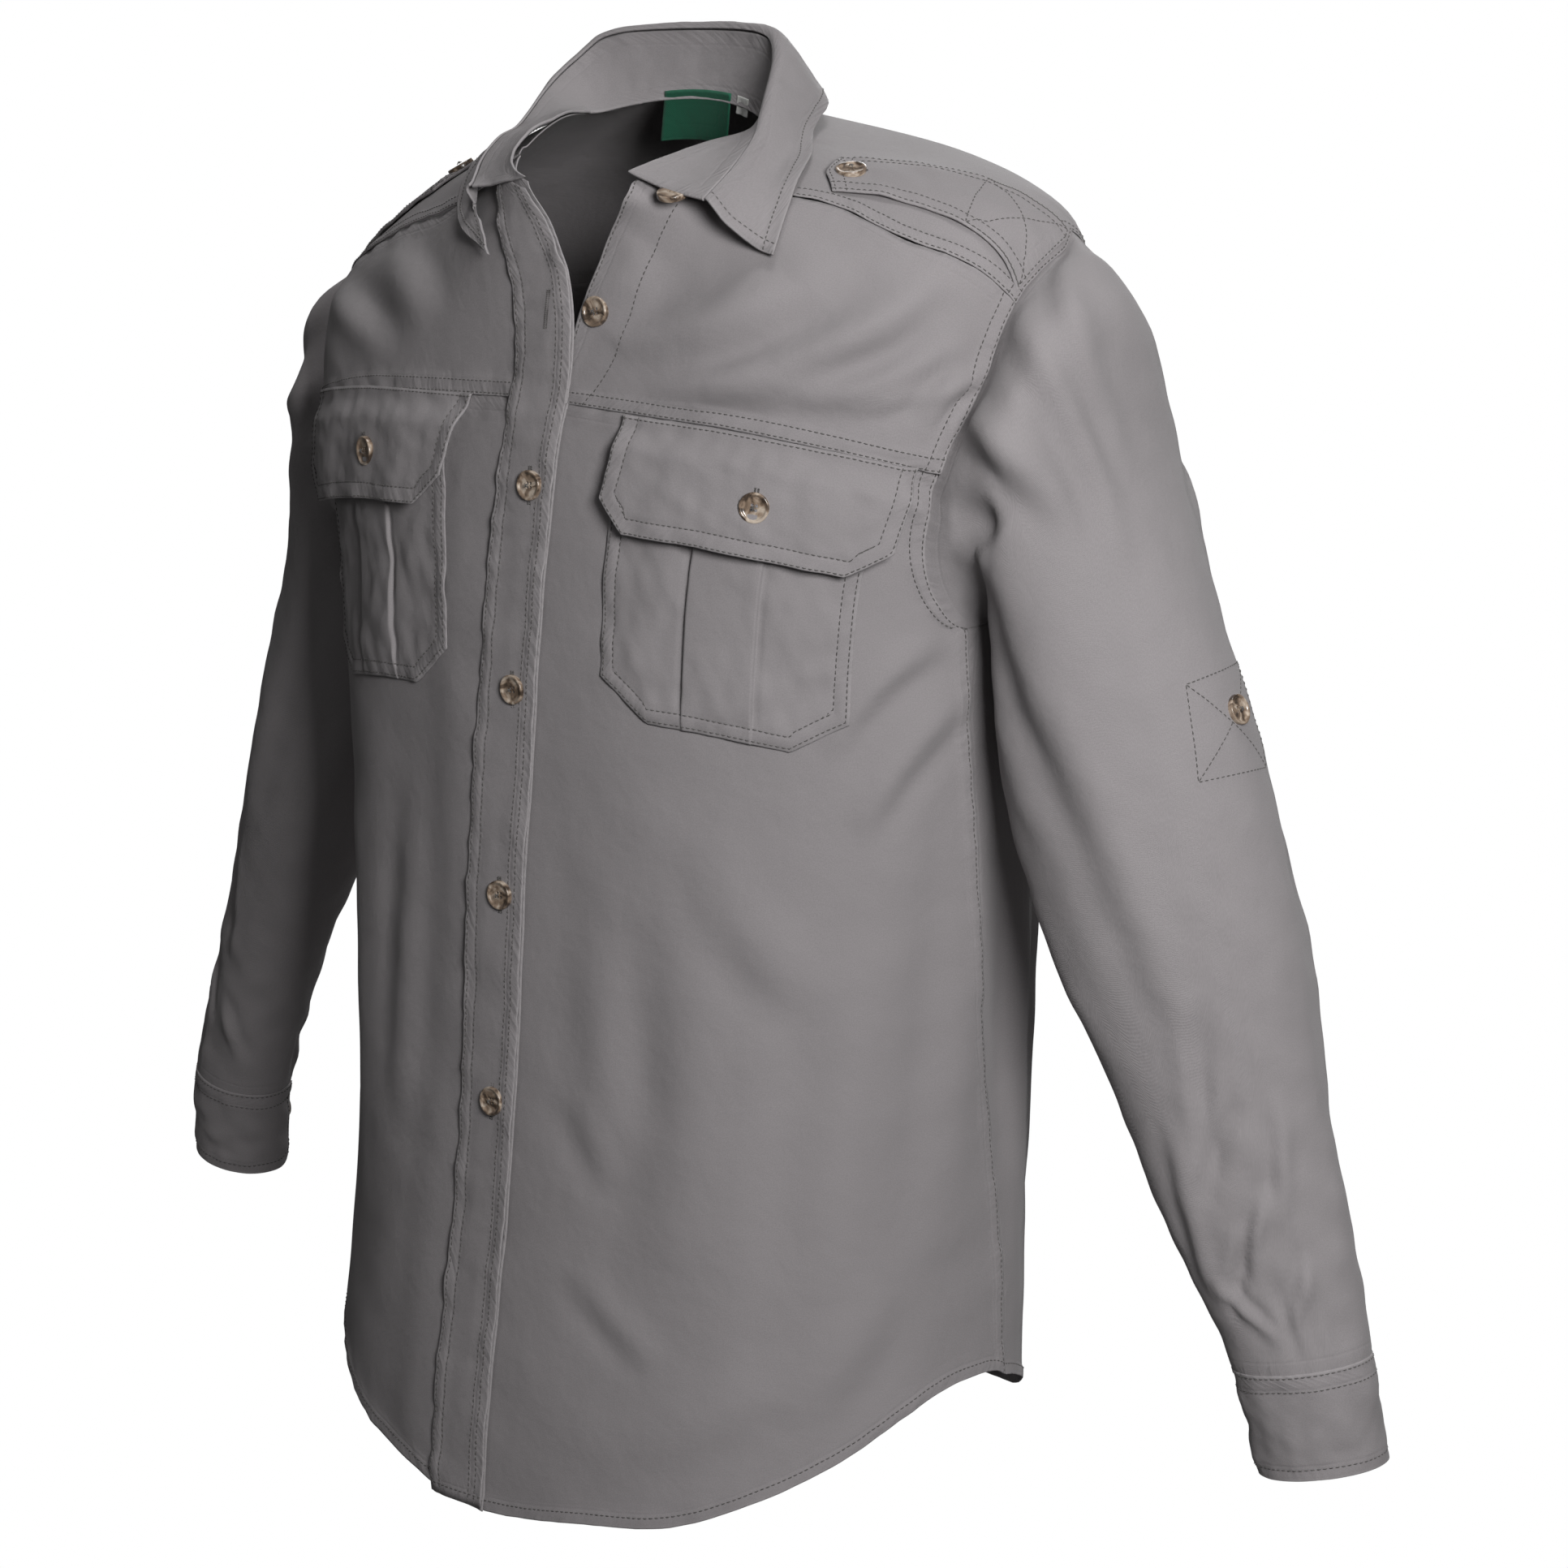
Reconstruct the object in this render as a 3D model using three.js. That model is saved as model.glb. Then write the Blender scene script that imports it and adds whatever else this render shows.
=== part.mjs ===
// A long-sleeved safari shirt in its worn, hollow form. Millimetres, +Z up, front towards -Y,
// the wearer's left towards +X. The origin lies midway between the two points where the
// shoulders meet the neck.
import * as THREE from 'three';

const degree = Math.PI / 180;

// Driving sizes
const wall = 1.2; // one ply of twill with its seam turnings
const doubleWall = 1.8; // two plies and the interlining between them
const seamGap = 0.3;
const restGap = 0.8; // between a panel and what is sewn flat on it
const lapLift = 2.0; // right front over left front

const armholeSteps = 24;
const yokeFrontStep = 3; // armhole steps forward of the shoulder tip
const chestSeamStep = 7;
const yokeBackStep = 4; // armhole steps behind the shoulder tip
const pitStep = armholeSteps / 2;
const neckSteps = 3;
const yokeSeamSteps = 7;
const sideSeamSteps = 9;
const backSteps = 14;

const buttonWide = 15;
const buttonThick = 3;

// Rings of the torso from the neck to below the hem. front and back are depths from centreY,
// sideZ, frontZ and backZ the heights of the ring at its sides, front and back.
const torsoLevels = [
  { name: 'neck', half: 64, centreY: 20, front: 95, back: 30, sideZ: 0, frontZ: -25, backZ: 12 },
  { name: 'collar reach', half: 116, centreY: 42, front: 125, back: 44, sideZ: -15, frontZ: -62, backZ: 3 },
  { name: 'mid shoulder', half: 172, centreY: 52, front: 139, back: 62, sideZ: -33, frontZ: -95, backZ: -13 },
  { name: 'shoulder tip', half: 218, centreY: 56, front: 145, back: 76, sideZ: -63, frontZ: -125, backZ: -44 },
  { name: 'upper arm', half: 226, centreY: 52, front: 145, back: 90, sideZ: -108, frontZ: -150, backZ: -95 },
  { name: 'chest', half: 218, centreY: 44, front: 139, back: 107, sideZ: -158, frontZ: -185, backZ: -150 },
  { name: 'armpit', half: 205, centreY: 39, front: 136, back: 116, sideZ: -224, frontZ: -230, backZ: -224 },
  { name: 'ribs', half: 198, centreY: 38, front: 137, back: 119, sideZ: -330, frontZ: -335, backZ: -335 },
  { name: 'waist', half: 194, centreY: 38, front: 140, back: 120, sideZ: -450, frontZ: -450, backZ: -450 },
  { name: 'hip', half: 194, centreY: 38, front: 148, back: 122, sideZ: -550, frontZ: -550, backZ: -550 },
  { name: 'hem', half: 197, centreY: 32, front: 152, back: 120, sideZ: -640, frontZ: -640, backZ: -640 },
  { name: 'below hem', half: 200, centreY: 26, front: 154, back: 116, sideZ: -730, frontZ: -730, backZ: -730 },
];

// Roundness of each ring's corners, and how much higher its left side is for each mm across
const torsoShapes = [
  { name: 'neck', square: 2, lean: 0 },
  { name: 'collar reach', square: 2.1, lean: 0.04 },
  { name: 'mid shoulder', square: 2.2, lean: 0.076 },
  { name: 'shoulder tip', square: 2.3, lean: 0.082 },
  { name: 'upper arm', square: 2.3, lean: 0.05 },
  { name: 'chest', square: 2.3, lean: 0.02 },
  { name: 'armpit', square: 2.3, lean: 0 },
  { name: 'ribs', square: 2.3, lean: 0 },
  { name: 'waist', square: 2.3, lean: 0 },
  { name: 'hip', square: 2.3, lean: 0 },
  { name: 'hem', square: 2.3, lean: 0 },
  { name: 'below hem', square: 2.3, lean: 0 },
];
const ringColumns = ['half', 'centreY', 'front', 'back', 'sideZ', 'frontZ', 'backZ'];

// Height of the curved shirt-tail hem round the body
const hemHeights = [
  { around: 0, z: -700 },
  { around: 15, z: -690 },
  { around: 30, z: -682 },
  { around: 45, z: -664 },
  { around: 60, z: -644 },
  { around: 75, z: -622 },
  { around: 87, z: -615 },
  { around: 98, z: -622 },
  { around: 130, z: -655 },
  { around: 180, z: -680 },
];

const hemLean = 8; // the worn hem hangs lower on the wearer's left

// Height of the seam across the chest
const chestSeamHeights = [
  { around: 0, z: -128 },
  { around: 28, z: -133 },
  { around: 45, z: -141 },
  { around: 66, z: -152 },
  { around: 80, z: -157 },
];

// Free edges of the two fronts: how far each stands from the middle plane at a torso level
const rightFreeEdge = [
  { level: 0, x: -9 },
  { level: 0.55, x: 12 },
  { level: 1.15, x: 27 },
  { level: 2, x: 34 },
  { level: 3, x: 34 },
  { level: 4.2, x: 30 },
  { level: 6, x: 22 },
  { level: 7.4, x: 9 },
  { level: 9.4, x: 2 },
  { level: 11, x: -2 },
];
const leftFreeEdge = [
  { level: 0, x: 55 },
  { level: 0.3, x: 57 },
  { level: 0.85, x: 47 },
  { level: 1.2, x: 43 },
  { level: 1.75, x: 36 },
  { level: 2.4, x: 29 },
  { level: 3.1, x: 13 },
  { level: 3.8, x: -8 },
  { level: 4.8, x: -20 },
  { level: 6, x: -25 },
  { level: 8, x: -33 },
  { level: 10, x: -44 },
  { level: 11, x: -48 },
];
const placketWide = 38;

// The front seam of the yoke, from the neck to the armhole
const yokeSeam = [
  { share: 0, level: 0, left: 70, right: 38 },
  { share: 0.3, level: 1.05, left: 64, right: 45 },
  { share: 0.5, level: 1.7, left: 62.5, right: 54 },
  { share: 0.75, level: 2.6, left: 64, right: 65 },
  { share: 1, level: 3.58, left: 78, right: 78 },
];

// The armhole, counted forwards from the shoulder tip and round under the arm
const armhole = [
  { step: 0, around: 97, level: 3 },
  { step: 1.5, around: 89, level: 3.22 },
  { step: 3, around: 78, level: 3.58 },
  { step: 5, around: 72.5, level: 4.3 },
  { step: 7, around: 67.5, level: 4.95 },
  { step: 9, around: 67.5, level: 5.55 },
  { step: 10.5, around: 72, level: 5.92 },
  { step: 12, around: 80, level: 6.1 },
  { step: 14, around: 92, level: 6 },
  { step: 16, around: 103, level: 5.6 },
  { step: 18, around: 110, level: 4.8 },
  { step: 20, around: 112, level: 3.9 },
  { step: 22, around: 107, level: 3.3 },
  { step: 24, around: 97, level: 3 },
];
const sideSeamHem = 98; // angle of the side seam at the hem

// Places where the worn neck falls open and turns outwards
const neckPushes = [
  { around: 56, level: 0, aroundSpread: 26, levelSpread: 1.1, x: 4, y: -42, z: -14 },
  { around: -62, level: 0, aroundSpread: 30, levelSpread: 0.8, x: 16, y: 0, z: 3 },
];

// Soft folds of the body: a line from one place to another, across which the cloth rises
const bodyFolds = [
  { name: 'chest drag, upper', fromAround: 12, fromZ: -112, toAround: 60, toZ: -86, wide: 12, high: 3 },
  { name: 'chest drag, lower', fromAround: 10, fromZ: -122, toAround: 64, toZ: -112, wide: 9, high: 2.5 },
  { name: 'left rib fall', fromAround: 14, fromZ: -330, toAround: 24, toZ: -520, wide: 16, high: -3 },
  { name: 'left waist fall', fromAround: 46, fromZ: -330, toAround: 40, toZ: -600, wide: 26, high: 4 },
  { name: 'right rib fall', fromAround: -34, fromZ: -320, toAround: -30, toZ: -580, wide: 24, high: 4 },
  { name: 'back fall left', fromAround: 150, fromZ: -160, toAround: 146, toZ: -560, wide: 24, high: 4 },
  { name: 'back fall right', fromAround: -152, fromZ: -180, toAround: -148, toZ: -580, wide: 26, high: 4 },
  { name: 'back centre fall', fromAround: 178, fromZ: -240, toAround: 181, toZ: -560, wide: 20, high: -3 },
];
const foldArc = 2.9; // millimetres of body for each degree round it

function mix(from, to, share) {
  return from + (to - from) * share;
}

function smoothStep(from, to, value) {
  const share = Math.min(Math.max((value - from) / (to - from), 0), 1);
  return share * share * (3 - 2 * share);
}

function cubic(before, from, to, after, share) {
  const start = (to - before) / 2;
  const end = (after - from) / 2;
  const square = share * share;
  const cube = square * share;
  return (2 * cube - 3 * square + 1) * from + (cube - 2 * square + share) * start
    + (3 * square - 2 * cube) * to + (cube - square) * end;
}

// One column of a table, read smoothly at a place counted in rows
function readColumn(rows, name, place) {
  const last = rows.length - 1;
  const row = Math.min(Math.max(Math.floor(place), 0), last - 1);
  const value = (index) => rows[Math.min(Math.max(index, 0), last)][name];
  return cubic(value(row - 1), value(row), value(row + 1), value(row + 2), place - row);
}

// One column read at a value of the table's own key column
function readAt(rows, key, name, value) {
  const last = rows.length - 1;
  if (value <= rows[0][key]) return rows[0][name];
  if (value >= rows[last][key]) return rows[last][name];
  let row = 0;
  while (value > rows[row + 1][key]) row += 1;
  const share = (value - rows[row][key]) / (rows[row + 1][key] - rows[row][key]);
  return readColumn(rows, name, row + share);
}

// The turn from one angle to another, by the shorter way round
function turnFrom(from, to) {
  return ((to - from + 540) % 360) - 180;
}

function torsoBase(around, level) {
  const ring = {};
  for (const name of ringColumns) ring[name] = readColumn(torsoLevels, name, level);
  for (const name of ['square', 'lean']) ring[name] = readColumn(torsoShapes, name, level);
  const aside = Math.sin(around * degree);
  const ahead = Math.cos(around * degree);
  const power = 2 / ring.square;
  const depth = ahead > 0 ? -ring.front : ring.back;
  const endZ = ahead > 0 ? ring.frontZ : ring.backZ;
  const x = ring.half * Math.sign(aside) * Math.abs(aside) ** power;
  const point = new THREE.Vector3(
    x,
    ring.centreY + depth * Math.abs(ahead) ** power,
    ring.sideZ + (endZ - ring.sideZ) * ahead * ahead + ring.lean * x,
  );
  for (const push of neckPushes) {
    const sideways = turnFrom(push.around, around) / push.aroundSpread;
    const down = (level - push.level) / push.levelSpread;
    const weight = Math.exp(-sideways * sideways - down * down);
    point.add(new THREE.Vector3(push.x, push.y, push.z).multiplyScalar(weight));
  }
  return point;
}

function torsoNormal(around, level) {
  const step = 0.05;
  const upper = Math.max(level - step, 0);
  const turn = torsoBase(around + 1, level).sub(torsoBase(around - 1, level));
  const down = torsoBase(around, upper + 2 * step).sub(torsoBase(around, upper));
  return turn.cross(down).negate().normalize();
}

function foldHeight(around, z) {
  let height = 0;
  for (const fold of bodyFolds) {
    const across = (fold.toAround - fold.fromAround) * foldArc;
    const fall = fold.toZ - fold.fromZ;
    const length = Math.hypot(across, fall);
    const dx = turnFrom(fold.fromAround, around) * foldArc;
    const dz = z - fold.fromZ;
    const along = (dx * across + dz * fall) / (length * length);
    if (along <= 0 || along >= 1) continue;
    const off = (dx * fall - dz * across) / length / fold.wide;
    height += fold.high * Math.exp(-off * off) * Math.sin(Math.PI * along);
  }
  return height;
}

// A point of the worn body surface, raised from it by lift
function torsoAt(around, level, lift) {
  const point = torsoBase(around, level);
  const height = foldHeight(around, point.z) + lift;
  return point.addScaledVector(torsoNormal(around, level), height);
}

function levelAtHeight(around, z) {
  let upper = 0;
  let lower = torsoLevels.length - 1;
  for (let step = 0; step < 30; step += 1) {
    const middle = (upper + lower) / 2;
    if (torsoBase(around, middle).z > z) upper = middle;
    else lower = middle;
  }
  return (upper + lower) / 2;
}

// Places on the body are pairs of angle and level
const place = (around, level) => new THREE.Vector2(around, level);

function armholePlace(step, side) {
  const turn = (step + 2 * armholeSteps) % armholeSteps;
  const around = readAt(armhole, 'step', 'around', turn);
  return place(side * around, readAt(armhole, 'step', 'level', turn));
}

function yokeSeamPlace(share, side) {
  const around = readAt(yokeSeam, 'share', side > 0 ? 'left' : 'right', share);
  return place(side * around, readAt(yokeSeam, 'share', 'level', share));
}

function hemPlace(around) {
  const level = readAt(hemHeights, 'around', 'z', Math.abs(around));
  const sideways = Math.sin(around * degree);
  return place(around, levelAtHeight(around, level - hemLean * sideways));
}

function chestSeamZ(around) {
  return readAt(chestSeamHeights, 'around', 'z', Math.abs(around));
}

function chestSeamPlace(around) {
  return place(around, levelAtHeight(around, chestSeamZ(around)));
}

// A patch of the body between four curves that meet at its corners
function patch({ top, bottom, left, right }) {
  return (u, v) => {
    const point = top(u).multiplyScalar(1 - v).addScaledVector(bottom(u), v);
    point.addScaledVector(left(v), 1 - u).addScaledVector(right(v), u);
    point.addScaledVector(top(0), -(1 - u) * (1 - v)).addScaledVector(top(1), -u * (1 - v));
    return point.addScaledVector(bottom(0), -(1 - u) * v).addScaledVector(bottom(1), -u * v);
  };
}

// A closed solid from two layers of points on one grid. same(i, j) names the grid place whose
// point is shared, which closes a tube or ends a slit.
function solidFromLayers(outer, inner, same) {
  const columns = outer.length;
  const rows = outer[0].length;
  const positions = [];
  const index = new Map();
  const vertexAt = (layer, i, j) => {
    const [si, sj] = same ? same(i, j) : [i, j];
    const key = `${layer},${si},${sj}`;
    if (!index.has(key)) {
      const point = (layer ? inner : outer)[si][sj];
      index.set(key, positions.length / 3);
      positions.push(point.x, point.y, point.z);
    }
    return index.get(key);
  };
  const faces = [];
  const edges = new Map();
  const addFace = (corners) => {
    const [a, b, c, d] = corners.map(([i, j]) => vertexAt(0, i, j));
    const [e, f, g, h] = corners.map(([i, j]) => vertexAt(1, i, j));
    faces.push(a, b, c, a, c, d, e, g, f, e, h, g);
    for (const [from, to, low, high] of [[a, b, e, f], [b, c, f, g], [c, d, g, h], [d, a, h, e]]) {
      edges.set(`${from},${to}`, [from, to, low, high]);
    }
  };
  for (let i = 0; i + 1 < columns; i += 1) {
    for (let j = 0; j + 1 < rows; j += 1) addFace([[i, j], [i, j + 1], [i + 1, j + 1], [i + 1, j]]);
  }
  for (const [from, to, low, high] of edges.values()) {
    if (!edges.has(`${to},${from}`)) faces.push(to, from, low, to, low, high);
  }
  const geometry = new THREE.BufferGeometry();
  geometry.setAttribute('position', new THREE.Float32BufferAttribute(positions, 3));
  geometry.setIndex(faces);
  return facingOut(geometry);
}

// Turns every face when the volume comes out negative
function facingOut(geometry) {
  const points = geometry.getAttribute('position');
  const faces = geometry.getIndex().array;
  const corner = [new THREE.Vector3(), new THREE.Vector3(), new THREE.Vector3()];
  let volume = 0;
  for (let face = 0; face < faces.length; face += 3) {
    corner.forEach((point, k) => point.fromBufferAttribute(points, faces[face + k]));
    volume += corner[0].dot(corner[1].clone().cross(corner[2]));
  }
  if (volume < 0) {
    for (let face = 0; face < faces.length; face += 3) {
      [faces[face + 1], faces[face + 2]] = [faces[face + 2], faces[face + 1]];
    }
  }
  geometry.computeVertexNormals();
  return geometry;
}

function gridOf(columns, rows, pointAt) {
  return columns.map((u) => rows.map((v) => pointAt(u, v)));
}

function evenly(steps) {
  return Array.from({ length: steps + 1 }, (_, k) => k / steps);
}

// Draws the rim of a grid inwards by half a seam gap
function drawIn(grid, amount, sides = ['left', 'right', 'top', 'bottom']) {
  const last = grid.length - 1;
  const end = grid[0].length - 1;
  const shift = (point, towards) => {
    point.addScaledVector(towards.clone().sub(point).normalize(), amount);
  };
  for (let j = 0; j <= end; j += 1) {
    if (sides.includes('left')) shift(grid[0][j], grid[1][j]);
    if (sides.includes('right')) shift(grid[last][j], grid[last - 1][j]);
  }
  for (let i = 0; i <= last; i += 1) {
    if (sides.includes('top')) shift(grid[i][0], grid[i][1]);
    if (sides.includes('bottom')) shift(grid[i][end], grid[i][end - 1]);
  }
  return grid;
}

// A panel of the body: places on it from a patch, raised by lift(place)
function bodyPanel({ columns, rows, placeAt, lift = () => 0, thick = wall }) {
  const layer = (drop) => drawIn(gridOf(columns, rows, (u, v) => {
    const spot = placeAt(u, v);
    return torsoAt(spot.x, spot.y, lift(spot, u, v) - drop);
  }), seamGap / 2);
  return solidFromLayers(layer(0), layer(thick));
}

// A wall on the inner side of a grid of points, found from the grid's own normals
function wallFromGrid(outer, thick, options = {}) {
  const { same, outwards = 1 } = options;
  const last = outer.length - 1;
  const end = outer[0].length - 1;
  const joined = Boolean(same);
  const inner = outer.map((line, i) => line.map((point, j) => {
    const before = i > 0 ? outer[i - 1][j] : (joined ? outer[last - 1][j] : outer[0][j]);
    const after = i < last ? outer[i + 1][j] : (joined ? outer[1][j] : outer[last][j]);
    const above = outer[i][Math.max(j - 1, 0)];
    const below = outer[i][Math.min(j + 1, end)];
    const normal = after.clone().sub(before).cross(below.clone().sub(above)).normalize();
    return point.clone().addScaledVector(normal, -thick * outwards);
  }));
  return solidFromLayers(outer, inner, same);
}

const shirt = new THREE.Group();

const finishes = {
  twill: { color: 0x85817e, roughness: 0.9, metalness: 0 },
  horn: { color: 0x8a6f55, roughness: 0.35, metalness: 0 },
  greenLabel: { color: 0x14553c, roughness: 0.7, metalness: 0 },
  whiteTape: { color: 0xd8d8d4, roughness: 0.8, metalness: 0 },
};

function addPiece(name, geometry, finish = 'twill') {
  const mesh = new THREE.Mesh(geometry, new THREE.MeshStandardMaterial(finishes[finish]));
  mesh.name = name;
  shirt.add(mesh);
  return mesh;
}

// The angle round the body at a distance x from its middle plane
function aroundAtX(x, level) {
  const wide = readColumn(torsoLevels, 'half', level);
  const square = readColumn(torsoShapes, 'square', level);
  return Math.sign(x) * Math.asin(Math.min(Math.abs(x) / wide, 1) ** (square / 2)) / degree;
}

// How far the right front is raised where it laps over the left front
function lapHeight(spot) {
  const x = torsoBase(spot.x, spot.y).x;
  const edge = readAt(leftFreeEdge, 'level', 'x', spot.y);
  return lapLift * smoothStep(edge - 38, edge - 12, x);
}

const sideNames = { 1: 'left', [-1]: 'right' };

// Fronts, each in an upper and a lower panel
function freeEdgeX(side, level) {
  return readAt(side > 0 ? leftFreeEdge : rightFreeEdge, 'level', 'x', level);
}

function freeEdgePlace(side, level) {
  return place(aroundAtX(freeEdgeX(side, level), level), level);
}

function chestSeamStart(side) {
  let level = levelAtHeight(0, chestSeamZ(0));
  for (let pass = 0; pass < 4; pass += 1) {
    level = chestSeamPlace(freeEdgePlace(side, level).x).y;
  }
  return freeEdgePlace(side, level);
}

function hemStart(side) {
  const around = freeEdgePlace(side, torsoLevels.length - 2).x;
  return hemPlace(around);
}

// Shares of a front's width at its grid lines, closer together beside the lap
const frontShares = {
  1: [0, 0.09, 0.19, 0.29, 0.39, 0.49, 0.59, 0.69, 0.79, 0.9, 1],
  [-1]: [0, 0.09, 0.18, 0.25, 0.32, 0.42, 0.53, 0.65, 0.77, 0.89, 1],
};

function frontShare(side, u) {
  return frontShares[side][Math.round(u * (frontShares[side].length - 1))];
}

function upperFront(side) {
  const start = chestSeamStart(side);
  const top = (u) => {
    const knee = neckSteps / (neckSteps + yokeSeamSteps);
    const corner = freeEdgePlace(side, 0);
    if (u <= knee) return corner.lerp(yokeSeamPlace(0, side), u / knee);
    return yokeSeamPlace((u - knee) / (1 - knee), side);
  };
  const seamEnd = armholePlace(chestSeamStep, side).x;
  const bottom = (u) => chestSeamPlace(mix(start.x, seamEnd, frontShare(side, u)));
  const left = (v) => freeEdgePlace(side, start.y * v);
  const right = (v) => armholePlace(mix(yokeFrontStep, chestSeamStep, v), side);
  return patch({ top, bottom, left, right });
}

function lowerFront(side) {
  const start = chestSeamStart(side);
  const end = hemStart(side);
  const armSteps = pitStep - chestSeamStep;
  const knee = armSteps / (armSteps + sideSeamSteps);
  const pit = armholePlace(pitStep, side);
  const kneeLevel = levelAtHeight(0, torsoBase(pit.x, pit.y).z);
  const seamEnd = armholePlace(chestSeamStep, side).x;
  const top = (u) => chestSeamPlace(mix(start.x, seamEnd, frontShare(side, u)));
  const sideHem = hemPlace(side * sideSeamHem);
  const bottom = (u) => hemPlace(mix(end.x, sideHem.x, frontShare(side, u)));
  const left = (v) => {
    if (v < knee) return freeEdgePlace(side, mix(start.y, kneeLevel, v / knee));
    return freeEdgePlace(side, mix(kneeLevel, end.y, (v - knee) / (1 - knee)));
  };
  const right = (v) => {
    if (v <= knee) return armholePlace(mix(chestSeamStep, pitStep, v / knee), side);
    const seam = (v - knee) / (1 - knee);
    return pit.clone().lerp(sideHem, seam);
  };
  return patch({ top, bottom, left, right });
}

for (const side of [1, -1]) {
  const lift = side > 0 ? () => 0 : lapHeight;
  addPiece(`front_upper_${sideNames[side]}`, bodyPanel({
    columns: evenly(neckSteps + yokeSeamSteps),
    rows: evenly(chestSeamStep - yokeFrontStep),
    placeAt: upperFront(side),
    lift,
  }));
  addPiece(`front_lower_${sideNames[side]}`, bodyPanel({
    columns: evenly(neckSteps + yokeSeamSteps),
    rows: evenly(pitStep - chestSeamStep + sideSeamSteps),
    placeAt: lowerFront(side),
    lift,
  }));
}

// Back, from the yoke's rear seam to the hem
const yokeBackLevel = armholePlace(-yokeBackStep, 1).y;

function wrapped(spot) {
  return spot.x < 0 ? place(spot.x + 360, spot.y) : spot;
}

const backPlaces = (() => {
  const leftTop = armholePlace(-yokeBackStep, 1);
  const rightTop = wrapped(armholePlace(-yokeBackStep, -1));
  const armSteps = pitStep - yokeBackStep;
  const knee = armSteps / (armSteps + sideSeamSteps);
  const sideLine = (v, side) => {
    if (v <= knee) return wrapped(armholePlace(-mix(yokeBackStep, pitStep, v / knee), side));
    const pit = armholePlace(pitStep, side);
    return wrapped(pit.lerp(hemPlace(side * sideSeamHem), (v - knee) / (1 - knee)));
  };
  return patch({
    top: (u) => leftTop.clone().lerp(rightTop, u),
    bottom: (u) => {
      const around = mix(sideSeamHem, 360 - sideSeamHem, u);
      return place(around, hemPlace(around > 180 ? around - 360 : around).y);
    },
    left: (v) => sideLine(v, 1),
    right: (v) => sideLine(v, -1),
  });
})();
addPiece('back', bodyPanel({
  columns: evenly(backSteps),
  rows: evenly(pitStep - yokeBackStep + sideSeamSteps),
  placeAt: backPlaces,
}));

// Yoke over both shoulders
const yokeArmSteps = yokeFrontStep + yokeBackStep;
const yokeColumns = 2 * yokeArmSteps + backSteps;
const yokePlaces = (() => {
  const bottom = (u) => {
    const step = u * yokeColumns;
    if (step <= yokeArmSteps) return armholePlace(yokeFrontStep - step, 1);
    if (step >= yokeArmSteps + backSteps) {
      return wrapped(armholePlace(step - yokeColumns + yokeFrontStep, -1));
    }
    const from = armholePlace(-yokeBackStep, 1);
    return from.lerp(wrapped(armholePlace(-yokeBackStep, -1)), (step - yokeArmSteps) / backSteps);
  };
  const left = (v) => yokeSeamPlace(v, 1);
  const right = (v) => wrapped(yokeSeamPlace(v, -1));
  const low = bottom(0).x;
  const high = bottom(1).x;
  const top = (u) => place(mix(left(0).x, right(0).x, (bottom(u).x - low) / (high - low)), 0);
  return patch({ top, bottom, left, right });
})();
addPiece('yoke', bodyPanel({
  columns: evenly(yokeColumns),
  rows: evenly(yokeSeamSteps),
  placeAt: yokePlaces,
}));

// Sleeves: rings from the armhole down to the cuff. tilt turns a ring's outer side up, twist
// turns its broad way to the back.
const sleeveSections = [
  { name: 'cap', x: 237, y: 40, z: -150, broad: 80, narrow: 62, tilt: 72, twist: 0 },
  { name: 'below the cap', x: 247, y: 46, z: -196, broad: 66, narrow: 50, tilt: 50, twist: 80 },
  { name: 'upper arm', x: 267, y: 49, z: -277, broad: 61, narrow: 56, tilt: 19, twist: 50 },
  { name: 'elbow', x: 300, y: 48, z: -372, broad: 60, narrow: 48, tilt: 18, twist: 38 },
  { name: 'forearm', x: 330, y: 48, z: -452, broad: 50, narrow: 33, tilt: 15, twist: 36 },
  { name: 'wrist', x: 353, y: 52, z: -520, broad: 42, narrow: 29, tilt: 13, twist: 36 },
  { name: 'cuff seam', x: 373, y: 58, z: -581, broad: 34, narrow: 28, tilt: 11, twist: 34 },
  { name: 'cuff end', x: 383, y: 64, z: -633, broad: 31, narrow: 27, tilt: 11, twist: 34 },
];

// What the right arm adds to each section, and its width against the left one
const rightArm = [
  { name: 'cap', x: -9, y: 2, z: -24, wide: 0.95 },
  { name: 'below the cap', x: -3, y: 4, z: -6, wide: 0.92 },
  { name: 'upper arm', x: -8, y: 12, z: 0, wide: 0.92 },
  { name: 'elbow', x: -6, y: 12, z: 0, wide: 0.95 },
  { name: 'forearm', x: -3, y: 8, z: 0, wide: 1 },
  { name: 'wrist', x: 0, y: 4, z: 0, wide: 1 },
  { name: 'cuff seam', x: 2, y: 0, z: 0, wide: 1 },
  { name: 'cuff end', x: 2, y: 0, z: 0, wide: 1 },
];
const cuffSeamRun = 7;
const sleeveHeadLift = 1.3; // the sleeve head stands this far off the body at its seam
const sleeveRowsBetween = [2, 2, 3, 3, 3, 3, 2];
const slitStep = 15; // armhole step in line with the sleeve slit
const slitRow = 15; // the last whole row above the slit
const slitGaps = { 1: 1.5, [-1]: 9 };

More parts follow.
